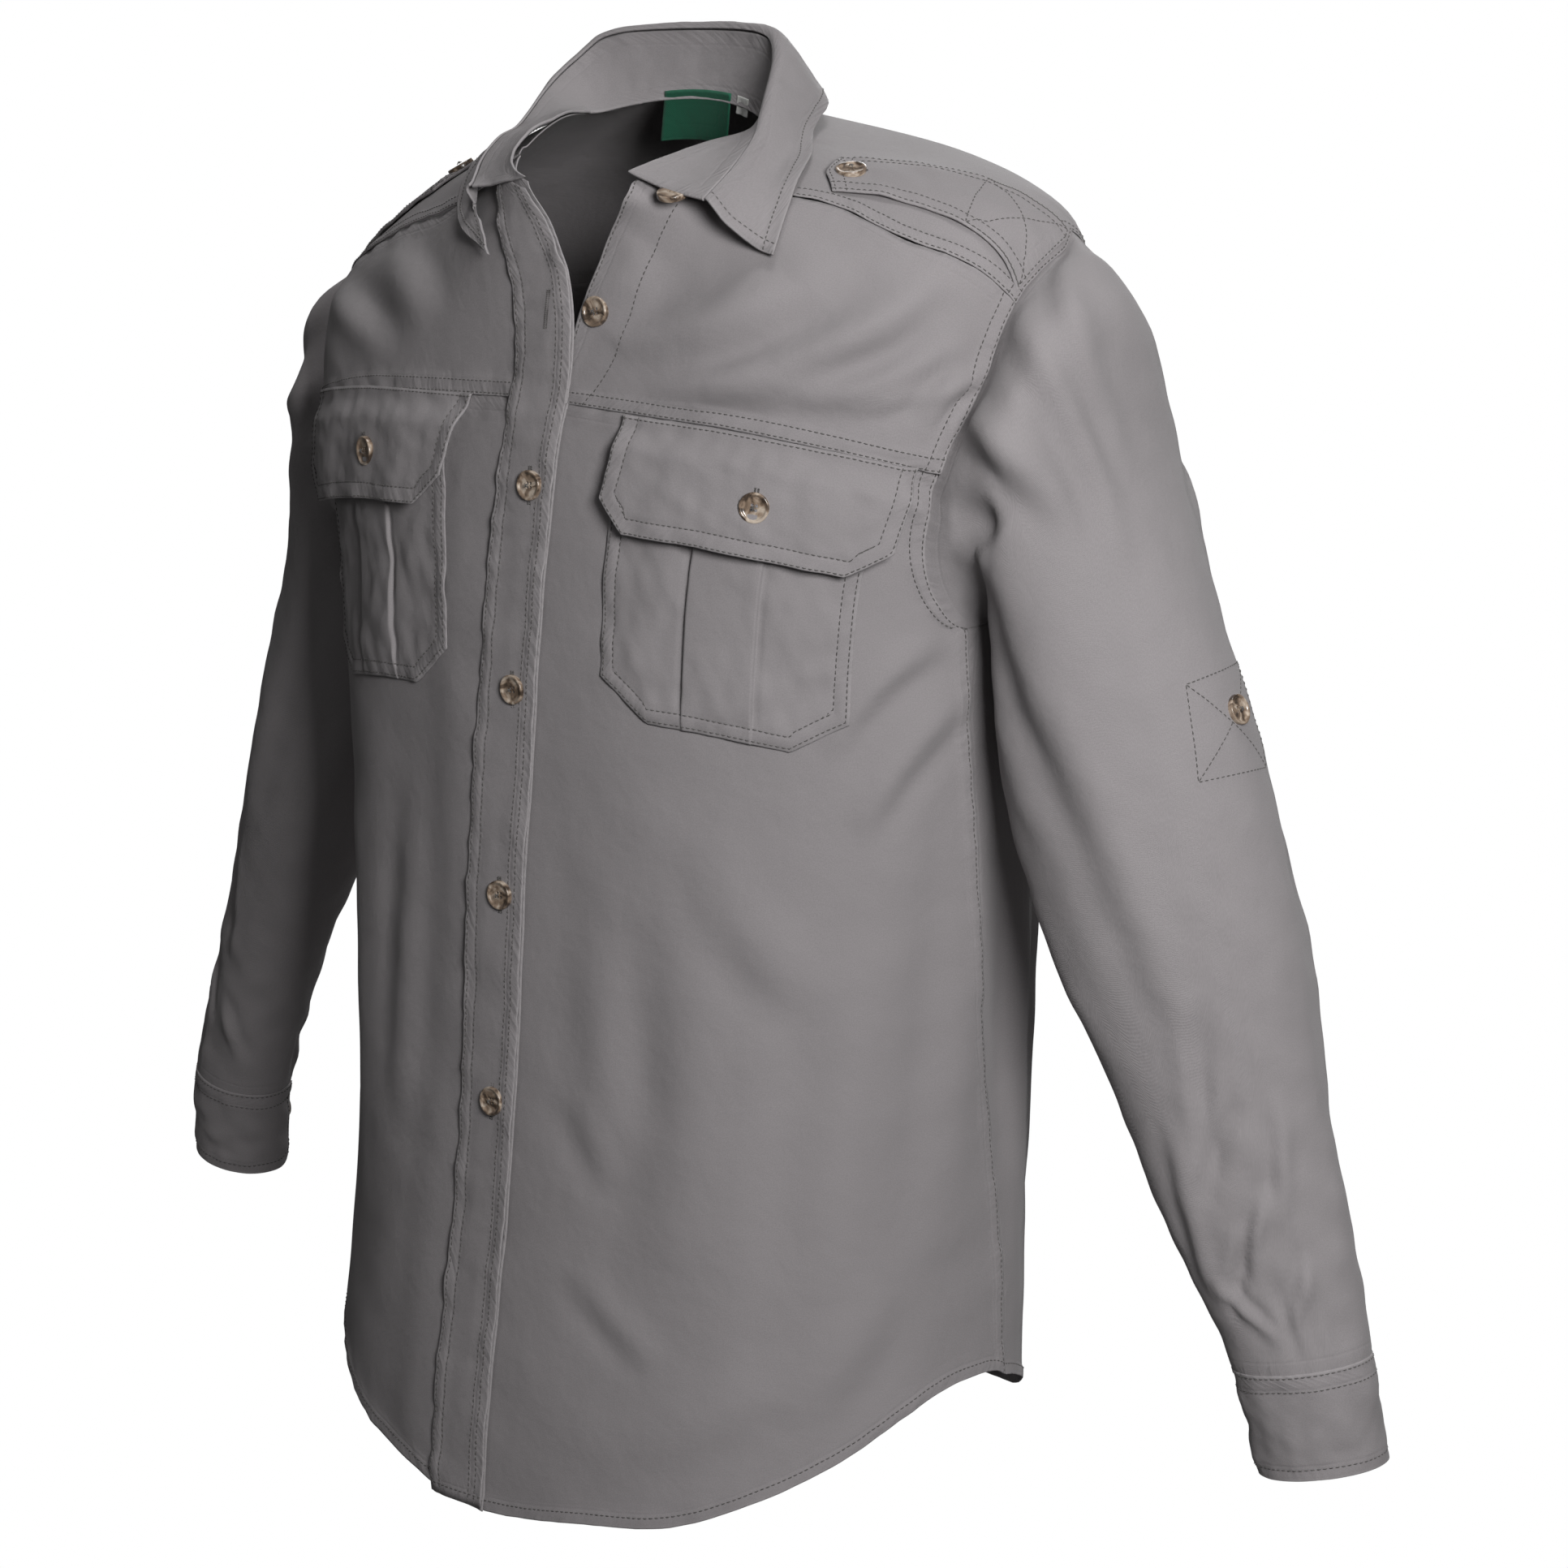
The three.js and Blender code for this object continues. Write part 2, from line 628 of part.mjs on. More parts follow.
function sectionPoint(index, step, side) {
  const section = sleeveSections[index];
  const added = side < 0 ? rightArm[index] : { x: 0, y: 0, z: 0, wide: 1 };
  const turn = (step / armholeSteps) * 2 * Math.PI;
  const tilt = section.tilt * degree;
  const twist = section.twist * degree;
  const broadShare = Math.cos(turn + twist) / section.broad;
  const narrowShare = Math.sin(turn + twist) / section.narrow;
  const reach = added.wide / Math.hypot(broadShare, narrowShare);
  const out = reach * Math.cos(turn);
  return new THREE.Vector3(
    side * (section.x + added.x + out * Math.cos(tilt)),
    section.y + added.y - reach * Math.sin(turn),
    section.z + added.z + out * Math.sin(tilt),
  );
}

function armholePoint(step, side, lift) {
  const spot = armholePlace(step, side);
  return torsoAt(spot.x, spot.y, lift);
}

// A point of the sleeve: run counts sections down from the armhole
function sleevePoint(step, run, side) {
  const rails = [armholePoint(step, side, sleeveHeadLift)];
  sleeveSections.forEach((_, index) => rails.push(sectionPoint(index, step, side)));
  const value = (axis) => readColumn(rails, axis, run);
  return new THREE.Vector3(value('x'), value('y'), value('z'));
}

const sleeveRuns = [0];
sleeveRowsBetween.forEach((count, section) => {
  for (let row = 1; row <= count; row += 1) sleeveRuns.push(section + row / count);
});

// Armhole steps that a length takes up on the ring at the cuff
function stepsFor(length) {
  return (length / (sleeveSections[cuffSeamRun - 1].broad * 2 * Math.PI)) * armholeSteps;
}

for (const side of [1, -1]) {
  const last = sleeveRuns.length - 1;
  const outer = Array.from({ length: armholeSteps + 1 }, (_, column) => sleeveRuns.map((run, row) => {
    const open = Math.max(row - slitRow, 0) / (last - slitRow);
    const away = stepsFor(open * slitGaps[side]) / 2;
    const shift = column === 0 ? away : (column === armholeSteps ? -away : 0);
    return sleevePoint(slitStep + column + shift, run, side);
  }));
  drawIn(outer, seamGap / 2, ['top', 'bottom']);
  const same = (i, j) => (i === armholeSteps && j <= slitRow ? [0, j] : [i, j]);
  addPiece(`sleeve_${sideNames[side]}`, wallFromGrid(outer, wall, { same, outwards: side }));
}

// Cuffs: the left one buttoned, its ends lapped, the right one hanging open
const cuffs = {
  1: { lap: 24, steps: 26 },
  [-1]: { lap: -12, steps: 24 },
};
const cuffRows = [0, 0.5, 1];
const cuffCorner = 13;
const cuffTall = 52;
const cuffCentre = { x: 378, y: 61 };

function cuffPoint(side, share, down) {
  const { lap } = cuffs[side];
  const girth = 2 * Math.PI * sleeveSections[cuffSeamRun - 1].narrow;
  const length = girth + lap;
  const along = share * length;
  const step = slitStep + ((along - lap / 2) / girth) * armholeSteps;
  const lapped = lap > 0 ? smoothStep(length - 2.2 * lap, length - 1.1 * lap, along) : 0;
  const fromEnd = Math.min(along, length - along);
  const nearCorner = Math.max(cuffCorner - fromEnd, 0);
  const cut = cuffCorner - Math.sqrt(cuffCorner ** 2 - nearCorner ** 2);
  const run = cuffSeamRun + (down * (cuffTall - cut)) / cuffTall;
  const point = sleevePoint(step, run, side);
  const centre = new THREE.Vector3(side * cuffCentre.x, cuffCentre.y, point.z);
  return point.addScaledVector(point.clone().sub(centre).normalize(), lapped * (doubleWall + restGap));
}

for (const side of [1, -1]) {
  const { steps } = cuffs[side];
  const cornerShares = [0, 0.012, 0.04];
  const middle = Array.from({ length: steps - 3 }, (_, k) => mix(0.07, 0.93, k / (steps - 4)));
  const columns = [...cornerShares, ...middle, ...cornerShares.map((share) => 1 - share).reverse()];
  const outer = gridOf(columns, cuffRows, (u, v) => cuffPoint(side, u, v));
  drawIn(outer, 1.5 * seamGap, ['top']);
  addPiece(`cuff_${sideNames[side]}`, wallFromGrid(outer, doubleWall, { outwards: side }));
}

// Collar, spread open in wear. share runs round the neck from the wearer's right front end; the
// roll is where the stand turns into the fall, the edge is the fall's outer edge.
const collarRoll = [
  { name: 'right end', share: 0, x: -46, y: -73, z: -30 },
  { name: 'right front', share: 0.09, x: -56, y: -52, z: -23 },
  { name: 'right shoulder', share: 0.18, x: -67, y: -18, z: -8 },
  { name: 'right side', share: 0.27, x: -83, y: 24, z: 12 },
  { name: 'right nape', share: 0.38, x: -80, y: 44, z: 26 },
  { name: 'right back', share: 0.46, x: -64, y: 54, z: 38 },
  { name: 'back', share: 0.576, x: -6, y: 60, z: 42 },
  { name: 'left back', share: 0.7, x: 37, y: 52, z: 41 },
  { name: 'left nape', share: 0.79, x: 58, y: 36, z: 31 },
  { name: 'left side', share: 0.88, x: 75, y: 9, z: 13 },
  { name: 'left shoulder', share: 0.94, x: 90, y: -20, z: -4 },
  { name: 'left front', share: 0.97, x: 98, y: -45, z: -16 },
  { name: 'left end', share: 1, x: 104, y: -72, z: -28 },
];
const collarEdge = [
  { name: 'right end', share: 0, x: -22, y: -88, z: -60 },
  { name: 'right front', share: 0.09, x: -62, y: -68, z: -46 },
  { name: 'right shoulder', share: 0.18, x: -86, y: -24, z: -26 },
  { name: 'right side', share: 0.27, x: -99, y: 20, z: -12 },
  { name: 'right nape', share: 0.38, x: -97, y: 56, z: -3 },
  { name: 'right back', share: 0.46, x: -76, y: 82, z: 6 },
  { name: 'back', share: 0.576, x: -2, y: 94, z: 14 },
  { name: 'left back', share: 0.7, x: 48, y: 82, z: 12 },
  { name: 'left nape', share: 0.79, x: 74, y: 57, z: 9 },
  { name: 'left side', share: 0.88, x: 89, y: 28, z: -3 },
  { name: 'left shoulder', share: 0.94, x: 108, y: 2, z: -24 },
  { name: 'left front', share: 0.97, x: 118, y: -20, z: -42 },
  { name: 'left end', share: 1, x: 129, y: -46, z: -58 },
];
const rollRadius = 4;
const standClearance = 4;
const fallClearance = 5;
const bandEndShare = 0.15; // the stand lies on the buttonhole band up to here
const collarSteps = 32;

function collarPoint(rows, share) {
  const read = (axis) => readAt(rows, 'share', axis, share);
  return new THREE.Vector3(read('x'), read('y'), read('z'));
}

function neckSeamPoint(share) {
  const from = freeEdgePlace(-1, 0).x;
  const to = freeEdgePlace(1, 0).x - 360;
  const around = mix(from, to, share);
  return torsoAt(around < -180 ? around + 360 : around, 0, 0);
}

function collarFrame(share) {
  const seam = neckSeamPoint(share);
  const stand = collarPoint(collarRoll, share).sub(seam);
  const step = 0.01;
  const middle = (at) => collarPoint(collarRoll, at).add(neckSeamPoint(at));
  const along = middle(Math.min(share + step, 1)).sub(middle(Math.max(share - step, 0)));
  const up = stand.clone().normalize();
  const out = stand.clone().cross(along).normalize();
  return { seam, stand, up, out };
}

// Samples of the shoulders that the collar rests on
const shoulderSamples = [];
for (let around = -180; around < 180; around += 3) {
  for (let level = 0; level <= 2.6; level += 0.1) {
    shoulderSamples.push({ point: torsoAt(around, level, 0), normal: torsoNormal(around, level) });
  }
}

// Raises a point that is closer to the shoulders than clearance
function restOn(point, clearance) {
  let nearest = shoulderSamples[0];
  let least = Infinity;
  for (const sample of shoulderSamples) {
    const distance = sample.point.distanceToSquared(point);
    if (distance < least) {
      least = distance;
      nearest = sample;
    }
  }
  const height = point.clone().sub(nearest.point).dot(nearest.normal);
  if (height < clearance) point.addScaledVector(nearest.normal, clearance - height);
  return point;
}

const collarShares = evenly(collarSteps);
const standOuter = collarShares.map((share) => {
  const { seam, stand, up, out } = collarFrame(share);
  const start = seam.clone().addScaledVector(up, 2 * seamGap);
  const overBand = 1 - smoothStep(bandEndShare, bandEndShare + 0.03, share);
  return [0, 0.35, 0.7, 1].map((v) => restOn(
    start.clone().addScaledVector(stand, v).addScaledVector(out, 2 * v * (1 - v)),
    4 * seamGap + v * standClearance + overBand * (restGap + wall),
  ));
});
addPiece('collar_stand', wallFromGrid(standOuter, doubleWall, { outwards: -1 }));

const fallOuter = collarShares.map((share, column) => {
  const top = standOuter[column][3];
  const up = top.clone().sub(standOuter[column][2]).normalize();
  const before = standOuter[Math.max(column - 1, 0)][3];
  const along = standOuter[Math.min(column + 1, collarSteps)][3].clone().sub(before);
  const out = up.clone().cross(along).normalize();
  const centre = top.clone().addScaledVector(up, 4 * seamGap)
    .addScaledVector(out, rollRadius - doubleWall - seamGap);
  const end = collarPoint(collarEdge, share);
  const fall = end.clone().sub(top);
  const turned = Math.atan2(fall.dot(out), fall.dot(up));
  const rolled = [0, 1 / 3, 2 / 3, 1].map((part) => centre.clone()
    .addScaledVector(out, -rollRadius * Math.cos(turned * part))
    .addScaledVector(up, rollRadius * Math.sin(turned * part)));
  const start = rolled[3];
  const ahead = out.clone().multiplyScalar(Math.sin(turned)).addScaledVector(up, Math.cos(turned));
  const bend = start.clone().addScaledVector(ahead, start.distanceTo(end) * 0.4);
  const lowered = [0.25, 0.5, 0.75, 1].map((v) => start.clone().multiplyScalar((1 - v) ** 2)
    .addScaledVector(bend, 2 * v * (1 - v)).addScaledVector(end, v * v));
  return [...rolled, ...lowered].map((point) => restOn(point, fallClearance));
});
addPiece('collar_fall', wallFromGrid(fallOuter, doubleWall, { outwards: 1 }));

// Buttonhole band down the edge of the right front
const placketLift = restGap + wall;
const placketRows = 26;
function placketPlace(u, v) {
  const top = 0.14;
  const bottom = hemStart(-1).y;
  const level = mix(top, bottom - 0.02, v);
  const x = freeEdgeX(-1, level) - 0.4 - u * (placketWide - 0.4);
  return place(aroundAtX(x, level), level);
}
function onPlacket(u, v, lift) {
  const spot = placketPlace(u, v);
  const topLift = 1.4 * (1 - smoothStep(0.02, 0.12, v));
  return torsoAt(spot.x, spot.y, lapHeight(spot) + lift + topLift);
}
{
  const layer = (lift) => gridOf(evenly(3), evenly(placketRows), (u, v) => onPlacket(u, v, lift));
  addPiece('placket', solidFromLayers(layer(placketLift), layer(placketLift - wall)));
}

// Chest pockets and their flaps, measured across from the middle plane and down from the seam
const frontArc = [0];
for (let around = 1; around <= 90; around += 1) {
  const height = -200;
  const here = torsoBase(around, levelAtHeight(around, height));
  const before = torsoBase(around - 1, levelAtHeight(around - 1, height));
  frontArc.push(frontArc[around - 1] + here.distanceTo(before));
}

function aroundAtArc(length) {
  let around = 0;
  while (frontArc[around + 1] < length) around += 1;
  return around + (length - frontArc[around]) / (frontArc[around + 1] - frontArc[around]);
}

function onChest(side, across, down, lift) {
  const around = side * aroundAtArc(across);
  const spot = place(around, levelAtHeight(around, chestSeamZ(around) - down));
  return torsoAt(spot.x, spot.y, lift + (side < 0 ? lapHeight(spot) : 0));
}

const pocket = { wide: 131, top: 16, tall: 133, cornerWide: 28, cornerTall: 20 };
const pleat = { wide: 36, lift: 1.6 };
const flap = { wide: 144, top: 1, tall: 56, cornerWide: 17, cornerTall: 16, stand: 4.4 };
const chestPlaces = {
  1: { pocketFrom: 60, flapFrom: 64, flapSlant: -9 },
  [-1]: { pocketFrom: 47, flapFrom: 31, flapSlant: 14 },
};

function chamfered(across, piece) {
  const fromEnd = Math.min(across, piece.wide - across);
  return piece.tall - piece.cornerTall * Math.max(0, 1 - fromEnd / piece.cornerWide);
}

for (const side of [1, -1]) {
  const pleatFrom = (pocket.wide - pleat.wide) / 2;
  const { pocketFrom, flapFrom, flapSlant } = chestPlaces[side];
  const half = [0, 14, pocket.cornerWide, pleatFrom - wall, pleatFrom];
  const columns = [...half, pocket.wide / 2, ...half.map((across) => pocket.wide - across).reverse()];
  const rows = evenly(7);
  const raised = (across) => (Math.abs(across - pocket.wide / 2) <= pleat.wide / 2 ? pleat.lift : 0);
  const layer = (lift, pleated) => gridOf(columns, rows, (across, v) => onChest(
    side,
    pocketFrom + across,
    pocket.top + v * chamfered(across, pocket),
    lift + (pleated ? raised(across) : 0),
  ));
  const pocketWalls = solidFromLayers(layer(restGap + wall, true), layer(restGap, false));
  addPiece(`pocket_${sideNames[side]}`, pocketWalls);

  const flapHalf = [0, flap.cornerWide, 36, 54];
  const flapMirrored = flapHalf.map((across) => flap.wide - across).reverse();
  const flapColumns = [...flapHalf, flap.wide / 2, ...flapMirrored];
  const flapRows = [0, 0.12, 0.3, 0.55, 0.8, 1];
  const flapLayer = (drop) => gridOf(flapColumns, flapRows, (across, v) => {
    const down = v * chamfered(across, flap);
    const away = smoothStep(4, 17, down) * flap.stand;
    const slant = flapSlant * (down / flap.tall);
    const lift = restGap + doubleWall + away - drop;
    return onChest(side, flapFrom + across + slant, flap.top + down, lift);
  });
  addPiece(`flap_${sideNames[side]}`, solidFromLayers(flapLayer(0), flapLayer(doubleWall)));
}

// Shoulder straps, pointed towards the neck and caught in the armhole seam
const strap = { corner: 0.22, endFrom: 2.9, endTo: 0.7, endShare: 0.965, point: 0.09 };
const strapStart = { fromAround: 66, toAround: 82, fromLevel: 1.55, toLevel: 1 };
for (const side of [1, -1]) {
  const along = [0, 0.06, 0.2, 0.35, 0.5, 0.65, 0.8, 0.9, 1];
  const acrossShares = [0, strap.corner, 0.5, 1 - strap.corner, 1];
  const start = (u) => place(
    side * mix(strapStart.fromAround, strapStart.toAround, u),
    mix(strapStart.fromLevel, strapStart.toLevel, u),
  );
  const end = (u) => armholePlace(mix(strap.endFrom, strap.endTo, u), side);
  const pointed = (u) => (Math.abs(u - 0.5) - 0.5) * strap.point;
  const layer = (lift) => gridOf(acrossShares, along, (u, v) => {
    const share = mix(pointed(u), strap.endShare, v);
    const spot = start(u).lerp(end(u), share);
    return torsoAt(spot.x, spot.y, lift);
  });
  const strapWalls = solidFromLayers(layer(restGap + doubleWall), layer(restGap));
  addPiece(`epaulette_${sideNames[side]}`, strapWalls);
}

// Neck label and size tab, hanging from the neck seam inside the back
const labels = [
  { name: 'neck_label', from: 162, to: 202, tall: 25, lean: 3, finish: 'greenLabel' },
  { name: 'size_tab', from: 148, to: 157, tall: 9, lean: 1, finish: 'whiteTape' },
];
const labelThick = 0.6;
const labelInset = 2.3; // from the neck seam towards the neck
const labelCatch = 2; // how far the labels reach up the stand
for (const label of labels) {
  const layer = (depth) => gridOf(evenly(4), evenly(2), (u, v) => {
    const point = torsoAt(mix(label.from, label.to, u), 0, 0);
    point.y -= labelInset + depth + label.lean * v;
    point.z += labelCatch - label.tall * v;
    return point;
  });
  addPiece(label.name, solidFromLayers(layer(labelThick), layer(0)), label.finish);
}

// Four-hole horn buttons: a dished face inside a raised rim
const buttonProfile = [
  [0, 0], [buttonWide * 0.36, 0], [buttonWide * 0.5, buttonThick * 0.4],
  [buttonWide * 0.47, buttonThick], [buttonWide * 0.36, buttonThick * 0.72], [0, buttonThick * 0.66],
].map(([radius, height]) => new THREE.Vector2(radius, height));

function addButton(name, surface, lift) {
  const centre = surface(0, 0, lift);
  const across = surface(2, 0, lift).sub(centre);
  const down = surface(0, 2, lift).sub(centre);
  const normal = across.cross(down).normalize();
  const out = surface(0, 0, lift + 2).sub(centre);
  if (normal.dot(out) < 0) normal.negate();
  const button = addPiece(name, new THREE.LatheGeometry(buttonProfile, 12), 'horn');
  button.position.copy(centre);
  button.quaternion.setFromUnitVectors(new THREE.Vector3(0, 1, 0), normal);
  return button;
}

// Buttons down the front: from the band's free edge to their middle, and their heights
const buttonInset = 14;
const buttonHeights = [-170, -272, -378, -486];
const band = placketLift + seamGap;
buttonHeights.forEach((height, index) => {
  const middle = freeEdgeX(-1, levelAtHeight(0, height)) - buttonInset;
  addButton(`front_button_${index + 2}`, (x, z, lift) => {
    const level = levelAtHeight(0, height - z);
    const spot = place(aroundAtX(middle + x, level), level);
    return torsoAt(spot.x, spot.y, lapHeight(spot) + lift);
  }, band);
});

// The top button stands open, on the left front alone
const topButton = { x: 45, z: -83, around: 15 };
addButton('front_button_1', (x, z, lift) => {
  const level = levelAtHeight(topButton.around, topButton.z - z);
  const spot = place(aroundAtX(topButton.x + x, level), level);
  return torsoAt(spot.x, spot.y, lift);
}, seamGap);

const flapButtonDown = 33; // from the chest seam
const strapButton = { around: 74, level: 1.27, armStep: 1.8, share: 0.05, perMm: 0.006 };
for (const side of [1, -1]) {
  const across = chestPlaces[side].flapFrom + flap.wide / 2;
  addButton(
    `flap_button_${sideNames[side]}`,
    (x, z, lift) => onChest(side, across + x, flapButtonDown + z, lift),
    restGap + doubleWall + flap.stand + seamGap,
  );
  addButton(`epaulette_button_${sideNames[side]}`, (x, z, lift) => {
    const share = strapButton.share + x * strapButton.perMm;
    const spot = place(side * strapButton.around, strapButton.level)
      .lerp(armholePlace(strapButton.armStep, side), share).add(place(z * 0.5, 0));
    return torsoAt(spot.x, spot.y, lift);
  }, restGap + doubleWall + seamGap);
}

// Buttons of the stand, the roll-up tabs and the cuffs, each on its own surface
function onGrid(pointAt, outwards) {
  return (right, below, lift) => {
    const step = 0.01;
    const x = right * step;
    const z = below * step;
    const across = pointAt(x + step, z).sub(pointAt(x - step, z));
    const down = pointAt(x, z + step).sub(pointAt(x, z - step));
    return pointAt(x, z).addScaledVector(across.cross(down).normalize(), lift * outwards);
  };
}
const tabButton = { step: 23.3, run: 3.07 };
const cuffButtons = { 1: { share: 0.93, down: 0.45 }, [-1]: { share: 0.07, down: 0.45 } };
for (const side of [1, -1]) {
  addButton(`sleeve_tab_button_${sideNames[side]}`, onGrid(
    (x, z) => sleevePoint(tabButton.step + x, tabButton.run + z, side),
    side,
  ), seamGap);
  const { share, down } = cuffButtons[side];
  addButton(`cuff_button_${sideNames[side]}`, onGrid(
    (x, z) => cuffPoint(side, share + x, down + z),
    side,
  ), restGap);
}
const standButton = { share: 1, up: 0.55 };
addButton('stand_button', onGrid((x, z) => {
  const { seam, stand } = collarFrame(standButton.share + x);
  return restOn(seam.addScaledVector(stand, standButton.up + z), standClearance);
}, -1), 4 * seamGap);

export default shirt;
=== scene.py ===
import bpy
import math
from functools import partial
import numpy as np
from mathutils import Matrix, Vector


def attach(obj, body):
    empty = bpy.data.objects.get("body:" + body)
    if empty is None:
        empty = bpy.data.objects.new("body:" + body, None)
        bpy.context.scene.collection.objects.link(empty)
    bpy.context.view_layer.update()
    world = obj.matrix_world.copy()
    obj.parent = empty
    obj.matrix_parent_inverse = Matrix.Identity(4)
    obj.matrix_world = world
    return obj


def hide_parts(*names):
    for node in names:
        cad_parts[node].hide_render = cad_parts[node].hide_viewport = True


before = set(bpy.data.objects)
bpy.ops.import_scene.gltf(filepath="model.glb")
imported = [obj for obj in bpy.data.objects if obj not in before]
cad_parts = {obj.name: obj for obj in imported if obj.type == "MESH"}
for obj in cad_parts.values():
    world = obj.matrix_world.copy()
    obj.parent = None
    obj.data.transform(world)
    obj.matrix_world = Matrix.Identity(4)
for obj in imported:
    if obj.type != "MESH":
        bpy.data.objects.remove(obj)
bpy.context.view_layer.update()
print("frame loaded,", len(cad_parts), "nodes")

# Lengths are in millimetres, as they are cut and sewn; meshes are made in metres.
metres = 0.001

# Camera and studio
cameraSettings = {
    "place": (1.4178, -1.5782, 0.1510),
    "aim": (0.1026, -0.0108, -0.3215),
    "lens": 96.65,
    "sensor": 36,
    "farthest": 60,
}


def addAimed(name, data, s):
    obj = bpy.data.objects.new(name, data)
    obj.location = s["place"]
    aim = Vector(s["aim"]) - Vector(s["place"])
    obj.rotation_euler = aim.to_track_quat("-Z", "Y").to_euler()
    bpy.context.scene.collection.objects.link(obj)
    return obj


def addCamera(s):
    data = bpy.data.cameras.new("camera")
    data.lens = s["lens"]
    data.sensor_width = s["sensor"]
    data.clip_end = s["farthest"]
    bpy.context.scene.camera = addAimed("camera", data, s)


addCamera(cameraSettings)

lightSettings = {
    "key": {"place": (1.3, -0.82, 0.3), "aim": (0.1, -0.05, -0.2), "wide": 0.45, "power": 27},
    "top": {"place": (0.1, 0.2, 1.95), "aim": (0, 0, -0.2), "wide": 0.7, "power": 17},
    "rear": {"place": (-0.9, 1.6, 0.5), "aim": (0, 0, -0.3), "wide": 0.8, "power": 18},
}


def addLight(name, s):
    data = bpy.data.lights.new(name, "AREA")
    data.energy = s["power"]
    data.size = s["wide"]
    addAimed(name, data, s)


for lightName, settings in lightSettings.items():
    addLight(lightName, settings)

studioSettings = {"floorHeight": -1.15, "floorWide": 60, "floorShade": 0.16, "white": 1.0, "fill": 0.13}


def newMaterial(name):
    material = bpy.data.materials.new(name)
    material.use_nodes = True
    return material, material.node_tree, material.node_tree.nodes["Principled BSDF"]


# The camera sees the shown shader plain, and all other light meets the lit one
def splitForCamera(tree, lit, shown, surface):
    path = tree.nodes.new("ShaderNodeLightPath")
    mixer = tree.nodes.new("ShaderNodeMixShader")
    tree.links.new(path.outputs["Is Camera Ray"], mixer.inputs[0])
    tree.links.new(lit.outputs[0], mixer.inputs[1])
    tree.links.new(shown.outputs[0], mixer.inputs[2])
    tree.links.new(mixer.outputs[0], surface)


def addStudio(s):
    world = bpy.data.worlds.new("studio")
    bpy.context.scene.world = world
    world.use_nodes = True
    tree = world.node_tree
    background = tree.nodes["Background"]
    background.inputs["Color"].default_value = (1, 1, 1, 1)
    background.inputs["Strength"].default_value = s["fill"]
    backdrop = tree.nodes.new("ShaderNodeBackground")  # plain white above the floor's far edge
    backdrop.inputs["Color"].default_value = (1, 1, 1, 1)
    splitForCamera(tree, background, backdrop, tree.nodes["World Output"].inputs["Surface"])
    bpy.ops.mesh.primitive_plane_add(size=s["floorWide"], location=(0, 0, s["floorHeight"]))
    floor = bpy.context.object
    floor.name = "floor"
    material, tree, shader = newMaterial("paleFloor")
    shader.inputs["Base Color"].default_value = (s["floorShade"], s["floorShade"], s["floorShade"], 1)
    shader.inputs["Roughness"].default_value = 1
    glow = tree.nodes.new("ShaderNodeEmission")  # the floor shows plain white to the camera
    glow.inputs["Strength"].default_value = s["white"]
    splitForCamera(tree, shader, glow, tree.nodes["Material Output"].inputs["Surface"])
    floor.data.materials.append(material)


addStudio(studioSettings)
bpy.context.scene.view_settings.view_transform = "Standard"
print("camera and studio ready")

sides = ((1, "left"), (-1, "right"))  # as the wearer has them

# Body surface, from the same rings as the CAD part. A ring is a level, counted from the neck down.
# Columns: half width, middle, depth in front, depth behind, heights at the side, front and back,
# squareness, lean to the wearer's left.
torsoRings = np.array([
    (64, 20, 95, 30, 0, -25, 12, 2, 0),
    (116, 42, 125, 44, -15, -62, 3, 2.1, 0.04),
    (172, 52, 139, 62, -33, -95, -13, 2.2, 0.076),
    (218, 56, 145, 76, -63, -125, -44, 2.3, 0.082),
    (226, 52, 145, 90, -108, -150, -95, 2.3, 0.05),
    (218, 44, 139, 107, -158, -185, -150, 2.3, 0.02),
    (205, 39, 136, 116, -224, -230, -224, 2.3, 0),
    (198, 38, 137, 119, -330, -335, -335, 2.3, 0),
    (194, 38, 140, 120, -450, -450, -450, 2.3, 0),
    (194, 38, 148, 122, -550, -550, -550, 2.3, 0),
    (197, 32, 152, 120, -640, -640, -640, 2.3, 0),
    (200, 26, 154, 116, -730, -730, -730, 2.3, 0),
], float)
hemHeights = [(0, -700), (15, -690), (30, -682), (45, -664), (60, -644), (75, -622), (87, -615),
              (98, -622), (130, -655), (180, -680)]
chestSeamHeights = [(0, -128), (28, -133), (45, -141), (66, -152), (80, -157)]
rightFreeEdge = [(0, -9), (0.55, 12), (1.15, 27), (2, 34), (3, 34), (4.2, 30), (6, 22), (7.4, 9),
                 (9.4, 2), (11, -2)]
leftFreeEdge = [(0, 55), (0.3, 57), (0.85, 47), (1.2, 43), (1.75, 36), (2.4, 29), (3.1, 13),
                (3.8, -8), (4.8, -20), (6, -25), (8, -33), (10, -44), (11, -48)]
yokeSeam = [(0, 0, 70, 38), (0.3, 1.05, 64, 45), (0.5, 1.7, 62.5, 54), (0.75, 2.6, 64, 65),
            (1, 3.58, 78, 78)]  # share, level, angle on the left, angle on the right
armhole = [(0, 97, 3), (1.5, 89, 3.22), (3, 78, 3.58), (5, 72.5, 4.3), (7, 67.5, 4.95),
           (9, 67.5, 5.55), (10.5, 72, 5.92), (12, 80, 6.1), (14, 92, 6), (16, 103, 5.6),
           (18, 110, 4.8), (20, 112, 3.9), (22, 107, 3.3), (24, 97, 3)]  # step, angle, level
neckPushes = [(56, 0, 26, 1.1, 4, -42, -14), (-62, 0, 30, 0.8, 16, 0, 3)]
